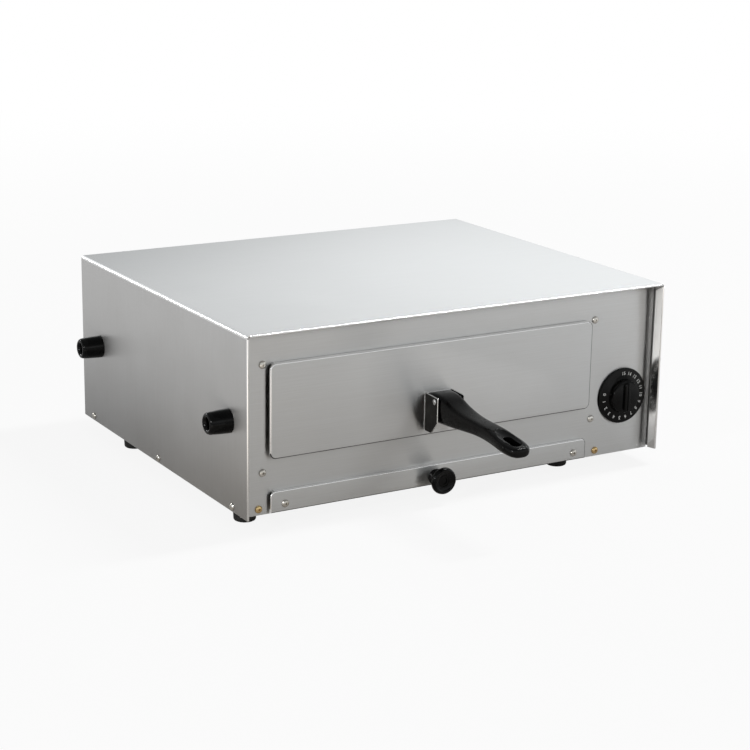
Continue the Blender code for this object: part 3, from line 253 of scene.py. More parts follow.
# Oven chamber: top and walls in one folded sheet, with a back that the elements' cold ends pass through.
# Aluminised sheet, browned by heat; it stands on the base and its front lips take the panel's screws.
chamber_sheet = aluminised("chamber_sheet", 0.9)
add_sheet("chamber_walls", "chamber_wrap", "oven", chamber_sheet, 0.25)
add_sheet("chamber_rear", "chamber_back", "oven", chamber_sheet, 0.25)


# Rails and guides: folded strips along the chamber's walls that carry the rack, and the tray below it.
# The rack's rails are stainless, the tray's guides aluminised; both are spot welded to the walls.
def brushed(name, tone, across, rough, blur, turn, warmth=0.0, metal=1.0):
    """Brushed stainless: fine lines drawn one way, faint clouding from handling. across marks the axes
    that cut the lines, blur says how far a reflection is drawn out across them, warmth how yellow it is."""
    finish, place = new_finish(name, Metallic=metal, Anisotropic=blur, Anisotropic_Rotation=turn)
    lines = grain(place, tuple(900 if cut else 8 for cut in across), 4.0, 0.65)
    hairs = grain(place, tuple(3200 if cut else 30 for cut in across), 2.0, 0.5)
    cloud = grain(place, (11, 11, 11), 4.0, 0.55)
    dark = (tone * 0.945, tone * (0.943 - 0.01 * warmth), tone * (0.938 - 0.03 * warmth))
    light = (tone * 1.05, tone * 1.05, tone * (1.05 - 0.01 * warmth))
    feed(
        finish,
        Base_Color=(lines * 0.3 + hairs * 0.3 + cloud * 0.4).spread(0.3, 0.7).tint(dark, light),
        Roughness=(lines * 0.06 + cloud * 0.08 + (rough - 0.07)),
        Normal=relief(hairs * 0.7 + lines * 0.3, 0.03, 0.00004),
    )
    return finish


rail_steel = brushed("rail_steel", 0.52, (1, 0, 1), 0.3, 0.4, 0.0)
for side_name in ("left", "right"):
    add_sheet("rail_" + side_name, "rack_rail_" + side_name, "oven", rail_steel)
    add_sheet("guide_" + side_name, "tray_guide_" + side_name, "oven", chamber_sheet)


# Heating elements: one bent sheathed tube above the rack and one below, on a strip between the walls.
# The sheath has turned grey-brown with heat; bare cold pins stick out behind the chamber's back.
ARC_PULL = 0.5523
RUN_PULL = 0.3


def bent_rod(path, radius, bend=0.0, closed=False, around=4):
    """A round rod along straight runs, in mm, with its corners bent to a radius. A knot's handles are as
    long as the pulls say, in bend radii: one makes a bend a quarter circle, one keeps a run straight."""
    route = bpy.data.curves.new("route", "CURVE")
    route.dimensions = "3D"
    route.resolution_u = 8
    route.bevel_depth = radius
    route.bevel_resolution = around
    route.use_fill_caps = True
    points = [Vector(point) for point in path]
    knots = []
    for index, point in enumerate(points):
        inner = closed or 0 < index < len(points) - 1
        if not inner or bend == 0:
            knots.append((point, point, point))
            continue
        before = (points[index - 1] - point).normalized()
        after = (points[(index + 1) % len(points)] - point).normalized()
        start = point + before * bend
        end = point + after * bend
        knots.append((start + before * bend * RUN_PULL, start, start - before * bend * ARC_PULL))
        knots.append((end - after * bend * ARC_PULL, end, end + after * bend * RUN_PULL))
    line = route.splines.new("BEZIER")
    line.bezier_points.add(len(knots) - 1)
    line.use_cyclic_u = closed
    for knot, (left, middle, right) in zip(line.bezier_points, knots):
        knot.handle_left_type = "FREE"
        knot.handle_right_type = "FREE"
        knot.handle_left = left
        knot.co = middle
        knot.handle_right = right
    holder = bpy.data.objects.new("route", route)
    bpy.context.scene.collection.objects.link(holder)
    made = bpy.data.meshes.new_from_object(holder.evaluated_get(bpy.context.evaluated_depsgraph_get()))
    work = bmesh.new()
    work.from_mesh(made)
    bpy.data.objects.remove(holder)
    bpy.data.curves.remove(route)
    bpy.data.meshes.remove(made)
    bmesh.ops.remove_doubles(work, verts=work.verts, dist=0.001)
    bmesh.ops.recalc_face_normals(work, faces=work.faces)
    return work


def gathered(forms):
    """Several forms as one."""
    whole = bmesh.new()
    for form in forms:
        part = bpy.data.meshes.new("part")
        form.to_mesh(part)
        form.free()
        whole.from_mesh(part)
        bpy.data.meshes.remove(part)
    return whole


element_sheath, place = new_finish("element_sheath")
scale_marks = grain(place, (220, 220, 220), 5.0, 0.7)
heat_bands = grain(place, (26, 14, 26), 3.0)
feed(
    element_sheath,
    Base_Color=heat_bands.spread(0.35, 0.65).tint((0.13, 0.115, 0.10), (0.30, 0.27, 0.235)),
    Roughness=scale_marks * 0.3 + 0.38,
    Metallic=scale_marks.spread(0.35, 0.7, 0.85, 0.3),
    Normal=relief(scale_marks, 0.2, 0.0002),
)
legs = (-157.5, -72.5, 17.5, 102.5)
front_bend, rear_bend, sheath_end = 41.6, 330, 362
pin_start, pin_end = 358, 371
sheath_radius, pin_radius, bend_radius = 4, 2, 38
for level, height in (("upper", 132), ("lower", 38)):
    loop = [
        (legs[0], sheath_end, height),
        (legs[0], front_bend, height),
        (legs[1], front_bend, height),
        (legs[1], rear_bend, height),
        (legs[2], rear_bend, height),
        (legs[2], front_bend, height),
        (legs[3], front_bend, height),
        (legs[3], sheath_end, height),
    ]
    forms = [bent_rod(loop, sheath_radius, bend_radius)]
    for across in (legs[0], legs[3]):
        forms.append(bent_rod([(across, pin_start, height), (across, pin_end, height)], pin_radius))
    heater = set_down(gathered(forms), (0, 0, 0))
    add_piece(level + "_heater", heater, "oven", [element_sheath], [level + "_element"])
    add_sheet(level + "_strip", level + "_element_strip", "oven", chamber_sheet)


# Control compartment: timer body, limit thermostat, terminal block and the shield beside the chamber.
# Glazed ceramic and moulded parts, and glass-fibre sleeved leads; their shapes are the frame's own.
def dress(node, finish):
    """Gives one of the frame's own nodes a finish."""
    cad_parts[node].data.materials.clear()
    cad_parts[node].data.materials.append(finish)


moulded_white, place = new_finish("moulded_white", IOR=1.5)
specks = grain(place, (420, 420, 420), 4.0, 0.7)
yellowing = grain(place, (30, 30, 30), 3.0)
feed(
    moulded_white,
    Base_Color=yellowing.spread(0.35, 0.7).tint((0.70, 0.69, 0.65), (0.62, 0.58, 0.49)),
    Roughness=specks * 0.25 + 0.3,
    Normal=relief(specks, 0.1, 0.0002),
)
for node in ("timer_body", "limit_thermostat", "terminal_block"):
    dress(node, moulded_white)
dress("divider_shield", base_sheet)
sleeve, place = new_finish("glass_fibre_sleeve", Specular_IOR_Level=0.3)
braid = place.node("ShaderNodeTexWave", {"bands_direction": "DIAGONAL"}, {"Vector": place, "Scale": 900.0})
soil = grain(place, (90, 90, 90), 4.0)
feed(
    sleeve,
    Base_Color=soil.tint((0.72, 0.69, 0.61), (0.55, 0.5, 0.4)),
    Roughness=braid * 0.15 + 0.65,
    Normal=relief(braid, 0.4, 0.0003),
)
for node in ("lead_timer", "lead_thermostat", "lead_upper", "lead_lower", "lead_link"):
    dress(node, sleeve)

# Rear panel: closes the back of the casing, with a row of vent slots beside the control compartment.
# Brushed stainless like the casing; the mains lead's gland sits low at one side.
rear_steel = brushed("rear_steel", 0.5, (0, 1, 1), 0.3, 0.5, 0.25)
add_sheet("rear_sheet", "rear_panel", "oven", rear_steel)

# Cord gland: a moulded bush clipped into the rear panel, where the mains lead would come out.
# Black phenolic with a thin clear skin, turned form with a rounded collar and an open bore.
bakelite, place = new_finish("black_bakelite", Specular_IOR_Level=0.02, Coat_IOR=1.25, Coat_Roughness=0.05)
flow = grain(place, (38, 38, 38), 4.0, 0.6)
peel = grain(place, (480, 480, 480), 2.0)
handling = grain(place, (150, 150, 150), 5.0, 0.7)
moulding_flow = (flow * 0.6 + handling * 0.4).spread(0.35, 0.7)
feed(
    bakelite,
    Base_Color=moulding_flow.tint((0.0007, 0.0007, 0.0008), (0.0026, 0.0025, 0.0024)),
    Roughness=(flow * 0.1 + handling.spread(0.5, 0.75, 0.0, 0.08) + 0.2),
    Coat_Weight=handling.spread(0.4, 0.75, 0.85, 0.65),
    Normal=relief(peel, 0.04, 0.0002),
)
gland_low, gland_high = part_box("cord_gland")
gland_depth = (gland_high[1] - gland_low[1]) / MM
gland_end = 392.7
gland = turned(
    [
        (3.6, 0),
        (8.2, 0),
        (8.2, gland_depth - 9.4),
        (11, gland_depth - 9),
        (11, gland_depth - 6.5),
        (10, gland_depth - 5.4),
        (7.6, gland_depth - 4.6),
        (7, gland_depth - 1),
        (6.2, gland_depth),
        (4.6, gland_depth),
        (3.6, gland_depth - 1.2),
        (3.6, 0),
    ]
)
set_down(gland, (190, gland_end - gland_depth, 40), Matrix.Rotation(-math.pi / 2, 4, "X"))
add_piece("gland_bush", gland, "oven", [bakelite], ["cord_gland"], 0.25)

# Front panel: the flat face set back inside the casing, cut for the door, the tray and the timer's shaft.
# Stainless brushed along its width, so what stands before it is mirrored as a soft upright smear.
front_steel = brushed("front_steel", 0.65, (0, 1, 1), 0.355, 1.0, 0.25, 0.6)
add_sheet("front_sheet", "front_panel", "oven", front_steel)


# Panel screws: four nickel-plated dome heads hold the front panel, two yellow-plated ones its foot.
# Each head is forged with a cross recess and driven home from the front.
def block(size, middle):
    """A plain box, to work a form from or to cut one with."""
    work = bmesh.new()
    bmesh.ops.create_cube(work, size=1.0)
    bmesh.ops.scale(work, vec=size, verts=work.verts)
    bmesh.ops.translate(work, vec=middle, verts=work.verts)
    return work


def carved(work, tool, smooth=0):
    """A form with a tool's form cut out of it, smoothed first if asked."""
    holders = []
    for form in (work, tool):
        mesh = bpy.data.meshes.new("form")
        form.to_mesh(mesh)
        form.free()
        holder = bpy.data.objects.new("form", mesh)
        bpy.context.scene.collection.objects.link(holder)
        holders.append(holder)
    if smooth:
        rounding = holders[0].modifiers.new("rounding", "SUBSURF")
        rounding.levels = smooth
        rounding.render_levels = smooth
    cutting = holders[0].modifiers.new("cutting", "BOOLEAN")
    cutting.object = holders[1]
    cutting.operation = "DIFFERENCE"
    cutting.solver = "EXACT"
    made = bpy.data.meshes.new_from_object(holders[0].evaluated_get(bpy.context.evaluated_depsgraph_get()))
    result = bmesh.new()
    result.from_mesh(made)
    bpy.data.meshes.remove(made)
    for holder in holders:
        mesh = holder.data
        bpy.data.objects.remove(holder)
        bpy.data.meshes.remove(mesh)
    return result


def plated(name, dark, light, rough):
    """Thin bright plating with handling marks and faint tarnish."""
    finish, place = new_finish(name, Metallic=1.0)
    tarnish = grain(place, (170, 170, 170), 4.0, 0.6)
    scuffs = grain(place, (1500, 1500, 1500), 3.0)
    feed(
        finish,
        Base_Color=tarnish.spread(0.35, 0.68).tint(light, dark),
        Roughness=(scuffs * 0.12 + tarnish * 0.1 + (rough - 0.1)),
        Normal=relief(scuffs, 0.05, 0.0001),
    )
    return finish


nickel = plated("nickel_plate", (0.55, 0.52, 0.47), (0.72, 0.70, 0.66), 0.2)
yellow_plate = plated("yellow_plate", (0.62, 0.42, 0.2), (0.82, 0.62, 0.3), 0.25)
head_profile = [
    (0, -7),
    (1.5, -7),
    (1.7, -6.5),
    (1.7, 0.3),
    (3.7, 0.3),
    (3.72, 0.6),
    (3.5, 1.05),
    (2.95, 1.6),
    (2.1, 2.05),
    (1.1, 2.26),
    (0, 2.3),
]
shaped_head = turned(head_profile, 32)
for arm_size in ((0.8, 3.3, 2.4), (3.3, 0.8, 2.3)):
    arm = block(arm_size, (0, 0, 2.2))
    tips = [vert for vert in arm.verts if vert.co.z < 2]
    bmesh.ops.scale(arm, vec=(0.55, 0.55, 1), verts=tips)
    shaped_head = carved(shaped_head, arm)
screw_form = bpy.data.meshes.new("screw_form")
shaped_head.to_mesh(screw_form)
shaped_head.free()
FACE_FRONT = Matrix.Rotation(math.pi / 2, 4, "X")
PANEL_FACE = 14


def add_screw(node, spot, facing, finish, body, twist):
    """One screw driven in at a spot, its recess stopped at a twist of its own."""
    work = bmesh.new()
    work.from_mesh(screw_form)
    set_down(work, spot, facing @ Matrix.Rotation(math.radians(twist), 4, "Z"))
    add_piece(node + "_head", work, body, [finish], [node], 0.12)


for row, up, left_twist, right_twist in (("top", 141.5, 20, 63), ("low", 39, 5, 41)):
    for side_name, across, twist in (("left", -212.5, left_twist), ("right", 159.5, right_twist)):
        node = "front_screw_" + row + "_" + side_name
        add_screw(node, (across, PANEL_FACE, up), FACE_FRONT, nickel, "oven", twist)
for side_name, across, twist in (("left", -216.5, 33), ("right", 166.5, 12)):
    spot = (across, PANEL_FACE, 4.5)
    add_screw("base_screw_" + side_name, spot, FACE_FRONT, yellow_plate, "oven", twist)


# Outer casing: one stainless sheet folded over the top and down both sides, its front edges hemmed.
# The brush lines run over the fold, across the top and down the sides; the hem is cut away at the folds. The
# top is painted lighter than the sides, and the folds and hem carry a painted highlight.
def round_edges(work, sides, radius, steps):
    """Rounds some of a form's edges and gives the faces that this makes."""
    made = bmesh.ops.bevel(
        work,
        geom=sides,
        offset=radius,
        offset_type="OFFSET",
        segments=steps,
        profile=0.5,
        affect="EDGES",
        material=-1,
    )
    return made["faces"]


casing = bmesh.new()
half, tall, deep = 235, 173.5, 384
fold_radius = 3
hem, hem_steps = 1.1, 6
strip_end, strip_lean = 9.0, 2.3
top_mitre, side_mitre = 4.0, 5.0
corners = [(-half, 0), (-half, tall), (half, tall), (half, 0)]
front_points = [casing.verts.new((across, hem, up)) for across, up in corners]
front_sides = [casing.edges.new(pair) for pair in zip(front_points, front_points[1:])]
grown = bmesh.ops.extrude_edge_only(casing, edges=front_sides)["geom"]
rear_points = [item for item in grown if isinstance(item, bmesh.types.BMVert)]
bmesh.ops.translate(casing, vec=(0, deep - hem, 0), verts=rear_points)
folds = []
for side in casing.edges:
    runs_back = abs(side.verts[0].co.y - side.verts[1].co.y) > 1
    if runs_back and side.verts[0].co.z > 1:
        folds.append(side)
round_edges(casing, folds, fold_radius, 6)
bmesh.ops.recalc_face_normals(casing, faces=casing.faces)
top_face = max(casing.faces, key=lambda face: face.calc_center_median().z)
if top_face.normal.z < 0:
    bmesh.ops.reverse_faces(casing, faces=casing.faces)
casing.normal_update()
rim = []
for side in casing.edges:
    at_front = max(vert.co.y for vert in side.verts) < hem + 0.01
    if at_front and side.is_boundary and side.calc_length() > fold_radius:
        rim.append(side)
inward = {}
for side in rim:
    face = side.link_faces[0]
    for vert in side.verts:
        inward[vert] = -face.normal
hem_faces = []
front_run = rim
offset_now = 0.0
for stage in range(1, hem_steps + 2):
    last = stage > hem_steps
    turn_angle = math.pi * min(stage, hem_steps) / hem_steps
    offset_next = hem * (1 - math.cos(turn_angle)) + (strip_lean if last else 0.0)
    along_next = strip_end if last else hem - hem * math.sin(turn_angle)
    grown = bmesh.ops.extrude_edge_only(casing, edges=front_run)["geom"]
    hem_faces.extend(item for item in grown if isinstance(item, bmesh.types.BMFace))
    new_points = [item for item in grown if isinstance(item, bmesh.types.BMVert)]
    moved = {}
    for vert in new_points:
        partner = None
        for link in vert.link_edges:
            other = link.other_vert(vert)
            if other in inward:
                partner = other
        moved[vert] = inward[partner]
    for vert, direction in moved.items():
        vert.co += direction * (offset_next - offset_now)
        vert.co.y = along_next
        if last and abs(direction.z) > 0.5:
            vert.co.x -= math.copysign(top_mitre, vert.co.x)
        elif last and vert.co.z > tall / 2:
            vert.co.z -= side_mitre
    inward = moved
    front_run = [item for item in grown if isinstance(item, bmesh.types.BMEdge)]
    offset_now = offset_next
casing.normal_update()
# Folds and hem take the painted highlight finish, the top the lighter painted tone, the sides the plain one.
for face in casing.faces:
    folded = 0.05 < face.normal.z < 0.99
    face.material_index = 2 if folded or face in hem_faces else int(face.normal.z > 0.7)
bmesh.ops.solidify(casing, geom=casing.faces, thickness=1.0)
# One sheet in three tones: the sides plain, the top painted lighter, the folds and hem painted bright as a
# highlight.
side_steel = brushed("side_steel", 0.52, (0, 1, 0), 0.42, 0.8, 0.0, 0.3)
top_steel_painted_lighter = brushed("top_steel_painted_lighter", 0.58, (0, 1, 0), 0.3, 0.0, 0.0)
hem_steel_painted_highlight = brushed("hem_steel_painted_highlight", 0.85, (0, 1, 0), 0.17, 0.0, 0.0)
casing_finishes = [side_steel, top_steel_painted_lighter, hem_steel_painted_highlight]
set_down(casing, (0, 0, 0))
add_piece("casing_wrap", casing, "oven", casing_finishes, ["outer_casing"], 0.15, 1)

# Casing screws: three along the foot of each side hold the folded sheet to the base.
# The same nickel-plated dome heads as the front.
for side, side_name in ((-1, "left"), (1, "right")):
    facing = Matrix.Rotation(side * math.pi / 2, 4, "Y")
    for spot_name, along, twist in (("front", 30.5, 15), ("middle", 194, 70), ("rear", 357.5, 48)):
        node = "casing_screw_" + side_name + "_" + spot_name
        add_screw(node, (side * half, along, 5), facing, nickel, "oven", twist)

# Stand-offs: four turned bakelite knobs on the sides that keep the hot casing clear of a wall.
# Each has a dished end round a sunk screw and a spigot through the sheet.
standoff_profile = [
    (0, -3),
    (3.5, -3),
    (3.5, 0.3),
    (11.5, 0.3),
    (11.5, 4),
    (11.1, 12),
    (10.6, 19),
    (10.3, 20.8),
    (9.6, 22.2),
    (8.4, 22.9),
    (7.4, 23),
    (6.5, 22.5),
    (5.5, 21.2),
    (5.0, 19.5),
    (4.8, 17),
    (0, 17),
]
standoff_up = 86
for side, side_name in ((-1, "left"), (1, "right")):
    facing = Matrix.Rotation(side * math.pi / 2, 4, "Y")
    for end, along in (("front", 37), ("rear", 337)):
        knob = set_down(turned(standoff_profile), (side * half, along, standoff_up), facing)
        node = "standoff_" + end + "_" + side_name
        add_piece(node + "_knob", knob, "oven", [bakelite], [node], 0.35)


# Crumb tray: a shallow aluminised pan with a stainless front plate, two screws and a bakelite knob.
# The pan is folded from one sheet; the plate is brushed like the panel, the knob screwed on from inside.
def add_lip(plate, top):
    """Rounds the front edges of an upright plate, with a painted highlight on the edges above and at the
    left and painted shade on those below and at the right, and folds its top back as the lip that stiffens
    it, its top painted bright too."""
    rounding, lip, reach = 0.95, 1, 3.2
    margin = 5.2
    plate.normal_update()
    across = [vert.co.x for vert in plate.verts]
    up = [vert.co.z for vert in plate.verts]
    outline = []
    for side in plate.edges:
        facing = sorted(face.normal.y for face in side.link_faces)
        middle = (side.verts[0].co + side.verts[1].co) / 2
        inside = min(across) + margin < middle.x < max(across) - margin
        inside = inside and min(up) + margin < middle.z < max(up) - margin
        if len(facing) == 2 and facing[0] < -0.9 and abs(facing[1]) < 0.5 and not inside:
            outline.append(side)
    rounded = round_edges(plate, outline, rounding, 4)
    plate.normal_update()
    # Painted shade on the edges that face down or right, painted highlight on those that face up or left.
    for face in rounded:
        face.material_index = 2 if face.normal.z < -0.05 or face.normal.x > 0.15 else 1
    everything = list(plate.verts) + list(plate.edges) + list(plate.faces)
    bmesh.ops.bisect_plane(plate, geom=everything, plane_co=(0, 0, top - lip), plane_no=(0, 0, 1))
    back = max(face.calc_center_median().y for face in plate.faces)
    strip = []
    for face in plate.faces:
        middle = face.calc_center_median()
        if middle.z > top - lip and middle.y > back - 0.01 and abs(face.normal.y) > 0.9:
            strip.append(face)
    grown = bmesh.ops.extrude_face_region(plate, geom=strip)["geom"]
    moved = [item for item in grown if isinstance(item, bmesh.types.BMVert)]
    bmesh.ops.translate(plate, vec=(0, reach, 0), verts=moved)
    bmesh.ops.delete(plate, geom=strip, context="FACES")
    bmesh.ops.recalc_face_normals(plate, faces=plate.faces)
    plate.normal_update()
    # The lip's top takes the painted highlight finish.
    for face in plate.faces:
        if face.normal.z > 0.7 and face.calc_center_median().z > top - 0.1:
            face.material_index = 1


tray_sheet = aluminised("tray_sheet", 0.6)
add_sheet("tray_dish", "tray_pan", "crumb_tray", tray_sheet)
tray_steel = brushed("tray_steel", 0.65, (0, 1, 1), 0.355, 1.0, 0.25, 0.6)
tray_plate = pressed_sheet("tray_front")
bmesh.ops.transform(tray_plate, matrix=OVEN.inverted(), verts=tray_plate.verts)
add_lip(tray_plate, 20.5)
# A bright copy of the plate steel as a painted highlight, and a near-black copy as painted shade.
rolled_edge_painted_highlight = brushed("rolled_edge_painted_highlight", 0.95, (1, 1, 1), 0.17, 0.0, 0.0, metal=0.85)
edge_painted_shade = brushed("edge_painted_shade", 0.07, (1, 1, 1), 0.45, 0.0, 0.0)
tray_finishes = [tray_steel, rolled_edge_painted_highlight, edge_painted_shade]
set_down(tray_plate, (0, 0, 0))
add_piece("tray_plate", tray_plate, "crumb_tray", tray_finishes, ["tray_front"], 0.3, 3, 35, 1)
DOOR_MIDDLE = -27.5
tray_face = 9.5
for side_name, across, twist in (("left", -191, 27), ("right", 136.5, 80)):
    spot = (across, tray_face, 7.6)
    add_screw("tray_screw_" + side_name, spot, FACE_FRONT, nickel, "crumb_tray", twist)
knob_profile = [
    (0, 0.3),
    (7.9, 0.3),
    (7.6, 1.2),
    (6.7, 3.2),
    (6.5, 5),
    (6.9, 7),
    (8.2, 9),
    (10.6, 10.8),
    (12.4, 12.1),
    (13.2, 13.6),
    (13.3, 14.6),
    (12.9, 16.4),
    (12.2, 17.5),
    (11.1, 18),
    (10.2, 17.8),
    (9.5, 17.2),
    (8.8, 16.7),
    (6.2, 16.1),
    (5.9, 16.4),
    (5.2, 16.45),
    (4.9, 15.9),
    (3.4, 15.8),
    (3.0, 14.9),
    (0, 14.8),
]
pull_spot = (DOOR_MIDDLE, tray_face, 8)
knob = set_down(turned(knob_profile, 64), pull_spot, FACE_FRONT)
add_piece("tray_pull", knob, "crumb_tray", [bakelite], ["tray_knob"])
inner_profile = [
    (0, -5.7),
    (1.6, -5.6),
    (2.7, -5.1),
    (3.5, -4.1),
    (3.7, -2.9),
    (3.7, -2.6),
    (1.7, -2.6),
    (1.7, 10),
    (0, 10),
]
inner_head = set_down(turned(inner_profile, 32), pull_spot, FACE_FRONT)
add_piece("tray_pull_screw", inner_head, "crumb_tray", [nickel], ["tray_knob_screw"], 0.12)

# Rack: a closed chromed rod frame with two cross rods and thirteen wires welded on top.
# It hangs on the door by two folded clips and slides on the chamber's rails.
chrome_wire = plated("chrome_wire", (0.52, 0.47, 0.40), (0.74, 0.74, 0.75), 0.16)
rack_left, rack_right = -191.7, 136.7
rack_front, rack_rear = 24, 346.2
rod_up, wire_up = 66, 68.9
wires, wire_reach = 13, 146.2
frame_radius, cross_radius, wire_radius, corner_bend = 2.5, 2.1, 1.5, 9
rack_corners = [
    (rack_left, rack_front, rod_up),
    (rack_right, rack_front, rod_up),
    (rack_right, rack_rear, rod_up),
    (rack_left, rack_rear, rod_up),
]
rods = [bent_rod(rack_corners, frame_radius, corner_bend, True)]
for share in (0.36, 0.7):
    along = rack_front + share * (rack_rear - rack_front)
    rods.append(bent_rod([(rack_left, along, rod_up), (rack_right, along, rod_up)], cross_radius))
for index in range(wires):
    across = DOOR_MIDDLE - wire_reach + 2 * wire_reach * index / (wires - 1)
    ends = [(across, rack_front - 1, wire_up), (across, rack_rear + 1, wire_up)]
    rods.append(bent_rod(ends, wire_radius, around=3))
rack = set_down(gathered(rods), (0, 0, 0))
add_piece("rack_wires", rack, "rack_drawer", [chrome_wire], ["wire_rack"])
for side_name in ("left", "right"):
    add_sheet("clip_" + side_name, "rack_clip_" + side_name, "rack_drawer", rail_steel)

# Door plate: a flat stainless plate with rounded corners that closes the opening when the rack is in.
# Brushed along its width; its rim is doubled at the back, and its edge carries a painted highlight above and
# at the left and painted shade below and at the right.
door_wide, door_tall, door_sheet = 360, 90, 1.2
door_along, door_up = 8.4, 97.4
door = block((door_wide, door_sheet, door_tall), (DOOR_MIDDLE, door_along, door_up))
door_corners = [side for side in door.edges if abs(side.verts[0].co.y - side.verts[1].co.y) > 1]
round_edges(door, door_corners, 6, 8)
inner_face = max(door.faces, key=lambda face: face.calc_center_median().y)
rim_faces = bmesh.ops.inset_region(door, faces=[inner_face], thickness=5, depth=0)["faces"]
grown = bmesh.ops.extrude_face_region(door, geom=rim_faces)["geom"]
rim_points = [item for item in grown if isinstance(item, bmesh.types.BMVert)]
bmesh.ops.translate(door, vec=(0, door_sheet, 0), verts=rim_points)
bmesh.ops.delete(door, geom=rim_faces, context="FACES")
door_steel = brushed("door_steel", 0.65, (0, 1, 1), 0.355, 1.0, 0.25, 0.4)
add_lip(door, door_up + door_tall / 2)
set_down(door, (0, 0, 0))
door_finishes = [door_steel, rolled_edge_painted_highlight, edge_painted_shade]
add_piece("door_plate", door, "rack_drawer", door_finishes, ["door_panel"], 0.4, 3, 35, 1)

# Handle bracket: a folded channel welded to the door, its cheeks holding the handle's root.
# Dark stained steel, bright where the press has cut its edges and on the plate that lies on the door.
bracket_dark, place = new_finish("bracket_dark", Metallic=1.0)
stain = grain(place, (70, 70, 70), 4.0)
rubbed = grain(place, (900, 900, 60), 3.0)
wear = (stain * 0.6 + rubbed * 0.4).spread(0.35, 0.7)
feed(
    bracket_dark,
    Base_Color=wear.tint((0.010, 0.0095, 0.009), (0.034, 0.032, 0.03)),
    Roughness=rubbed * 0.2 + 0.2,
    Normal=relief(rubbed, 0.06, 0.0001),
)
bracket_edge = brushed("bracket_edge", 0.8, (1, 1, 0), 0.25, 0.0, 0.0)
channel = pressed_sheet("handle_bracket")
channel.normal_update()
least_plate = 60 * MM * MM
for face in channel.faces:
    if face.normal.y < -0.9 and face.calc_area() > least_plate:
        face.material_index = 2
channel_finishes = [bracket_dark, bracket_edge, rail_steel]
nodes = ["handle_bracket"]
add_piece("bracket_channel", channel, "rack_drawer", channel_finishes, nodes, 0.5, 3, 35, 1)

# Handle: a moulded bakelite grip like a pan's, boxed root, slim neck and a dished ring at the tip.
# It is held in the bracket by a riveted cross pin and can hang by its slot.
# Each section gives its share of the length, its width, its low and high edge, and how round it is.
grip = bmesh.new()
grip_start, grip_length, draft = 6.0, 140, 0.12
grip_sections = [
    (0.0, 27, 67, 95.4, 0.36),
    (0.02, 27, 67, 95.6, 0.36),
    (0.07, 27, 67, 96, 0.36),
    (0.13, 26, 67.2, 95.3, 0.38),
    (0.19, 25.3, 67.6, 92.8, 0.4),
    (0.25, 24.6, 68, 89.7, 0.42),
    (0.37, 22.2, 69.4, 86.4, 0.45),
    (0.49, 19.6, 70.8, 85, 0.47),
    (0.60, 19.2, 70.9, 84.7, 0.48),
    (0.72, 21.5, 70, 83.6, 0.5),
    (0.82, 24.8, 68.7, 80.5, 0.52),
    (0.90, 26.2, 67.7, 78.9, 0.54),
    (0.96, 22.6, 67, 77.4, 0.58),
    (0.985, 17.6, 67.4, 76.9, 0.6),
    (1.0, 11.6, 68.4, 76.3, 0.65),
]
rings = []
for share, wide, low, high, roundness in grip_sections:
    ring = bmesh.ops.create_circle(grip, cap_ends=False, radius=1.0, segments=24)["verts"]
    along = grip_start - share * grip_length
    for vert in ring:
        side_way = math.copysign(abs(vert.co.x) ** roundness, vert.co.x)
        up_way = math.copysign(abs(vert.co.y) ** roundness, vert.co.y)
        side_way *= 1.0 - draft * max(0.0, -up_way)
        up = (low + high) / 2 + up_way * (high - low) / 2
        vert.co = (DOOR_MIDDLE + side_way * wide / 2, along, up)
    rings.append([side for side in grip.edges if all(vert in ring for vert in side.verts)])
for first, second in zip(rings, rings[1:]):
    bmesh.ops.bridge_loops(grip, edges=first + second)
bmesh.ops.contextual_create(grip, geom=rings[0])
bmesh.ops.contextual_create(grip, geom=rings[-1])
bmesh.ops.recalc_face_normals(grip, faces=grip.faces)
slot_tool = block((9.4, 22, 40), (DOOR_MIDDLE, -116.2, 75))
slot_corners = [side for side in slot_tool.edges if abs(side.verts[0].co.z - side.verts[1].co.z) > 1]
round_edges(slot_tool, slot_corners, 4.65, 8)
dish_tool = bmesh.new()
bmesh.ops.create_uvsphere(dish_tool, u_segments=48, v_segments=24, radius=1.0)
bmesh.ops.scale(dish_tool, vec=(12.4, 23.5, 5.5), verts=dish_tool.verts)
tilt = Matrix.Rotation(math.radians(9), 3, "X")
bmesh.ops.rotate(dish_tool, cent=(0, 0, 0), matrix=tilt, verts=dish_tool.verts)
bmesh.ops.translate(dish_tool, vec=(DOOR_MIDDLE, -113.5, 83.4), verts=dish_tool.verts)
grip = carved(carved(grip, dish_tool, 2), slot_tool)
add_piece("grip", set_down(grip, (0, 0, 0)), "rack_drawer", [bakelite], ["handle"], 0.5, 3, 32)
rivet_head = [(2, 14.8), (2.4, 14.8), (2.3, 15.2), (1.8, 15.6), (1.0, 15.85), (0, 15.9)]
rivet_foot = [(radius, -end) for radius, end in reversed(rivet_head)]
pin = turned(rivet_foot + rivet_head, 32)
set_down(pin, (DOOR_MIDDLE, -8.8, 89.5), Matrix.Rotation(math.pi / 2, 4, "Y"))
add_piece("cross_pin", pin, "rack_drawer", [rail_steel], ["handle_pin"])

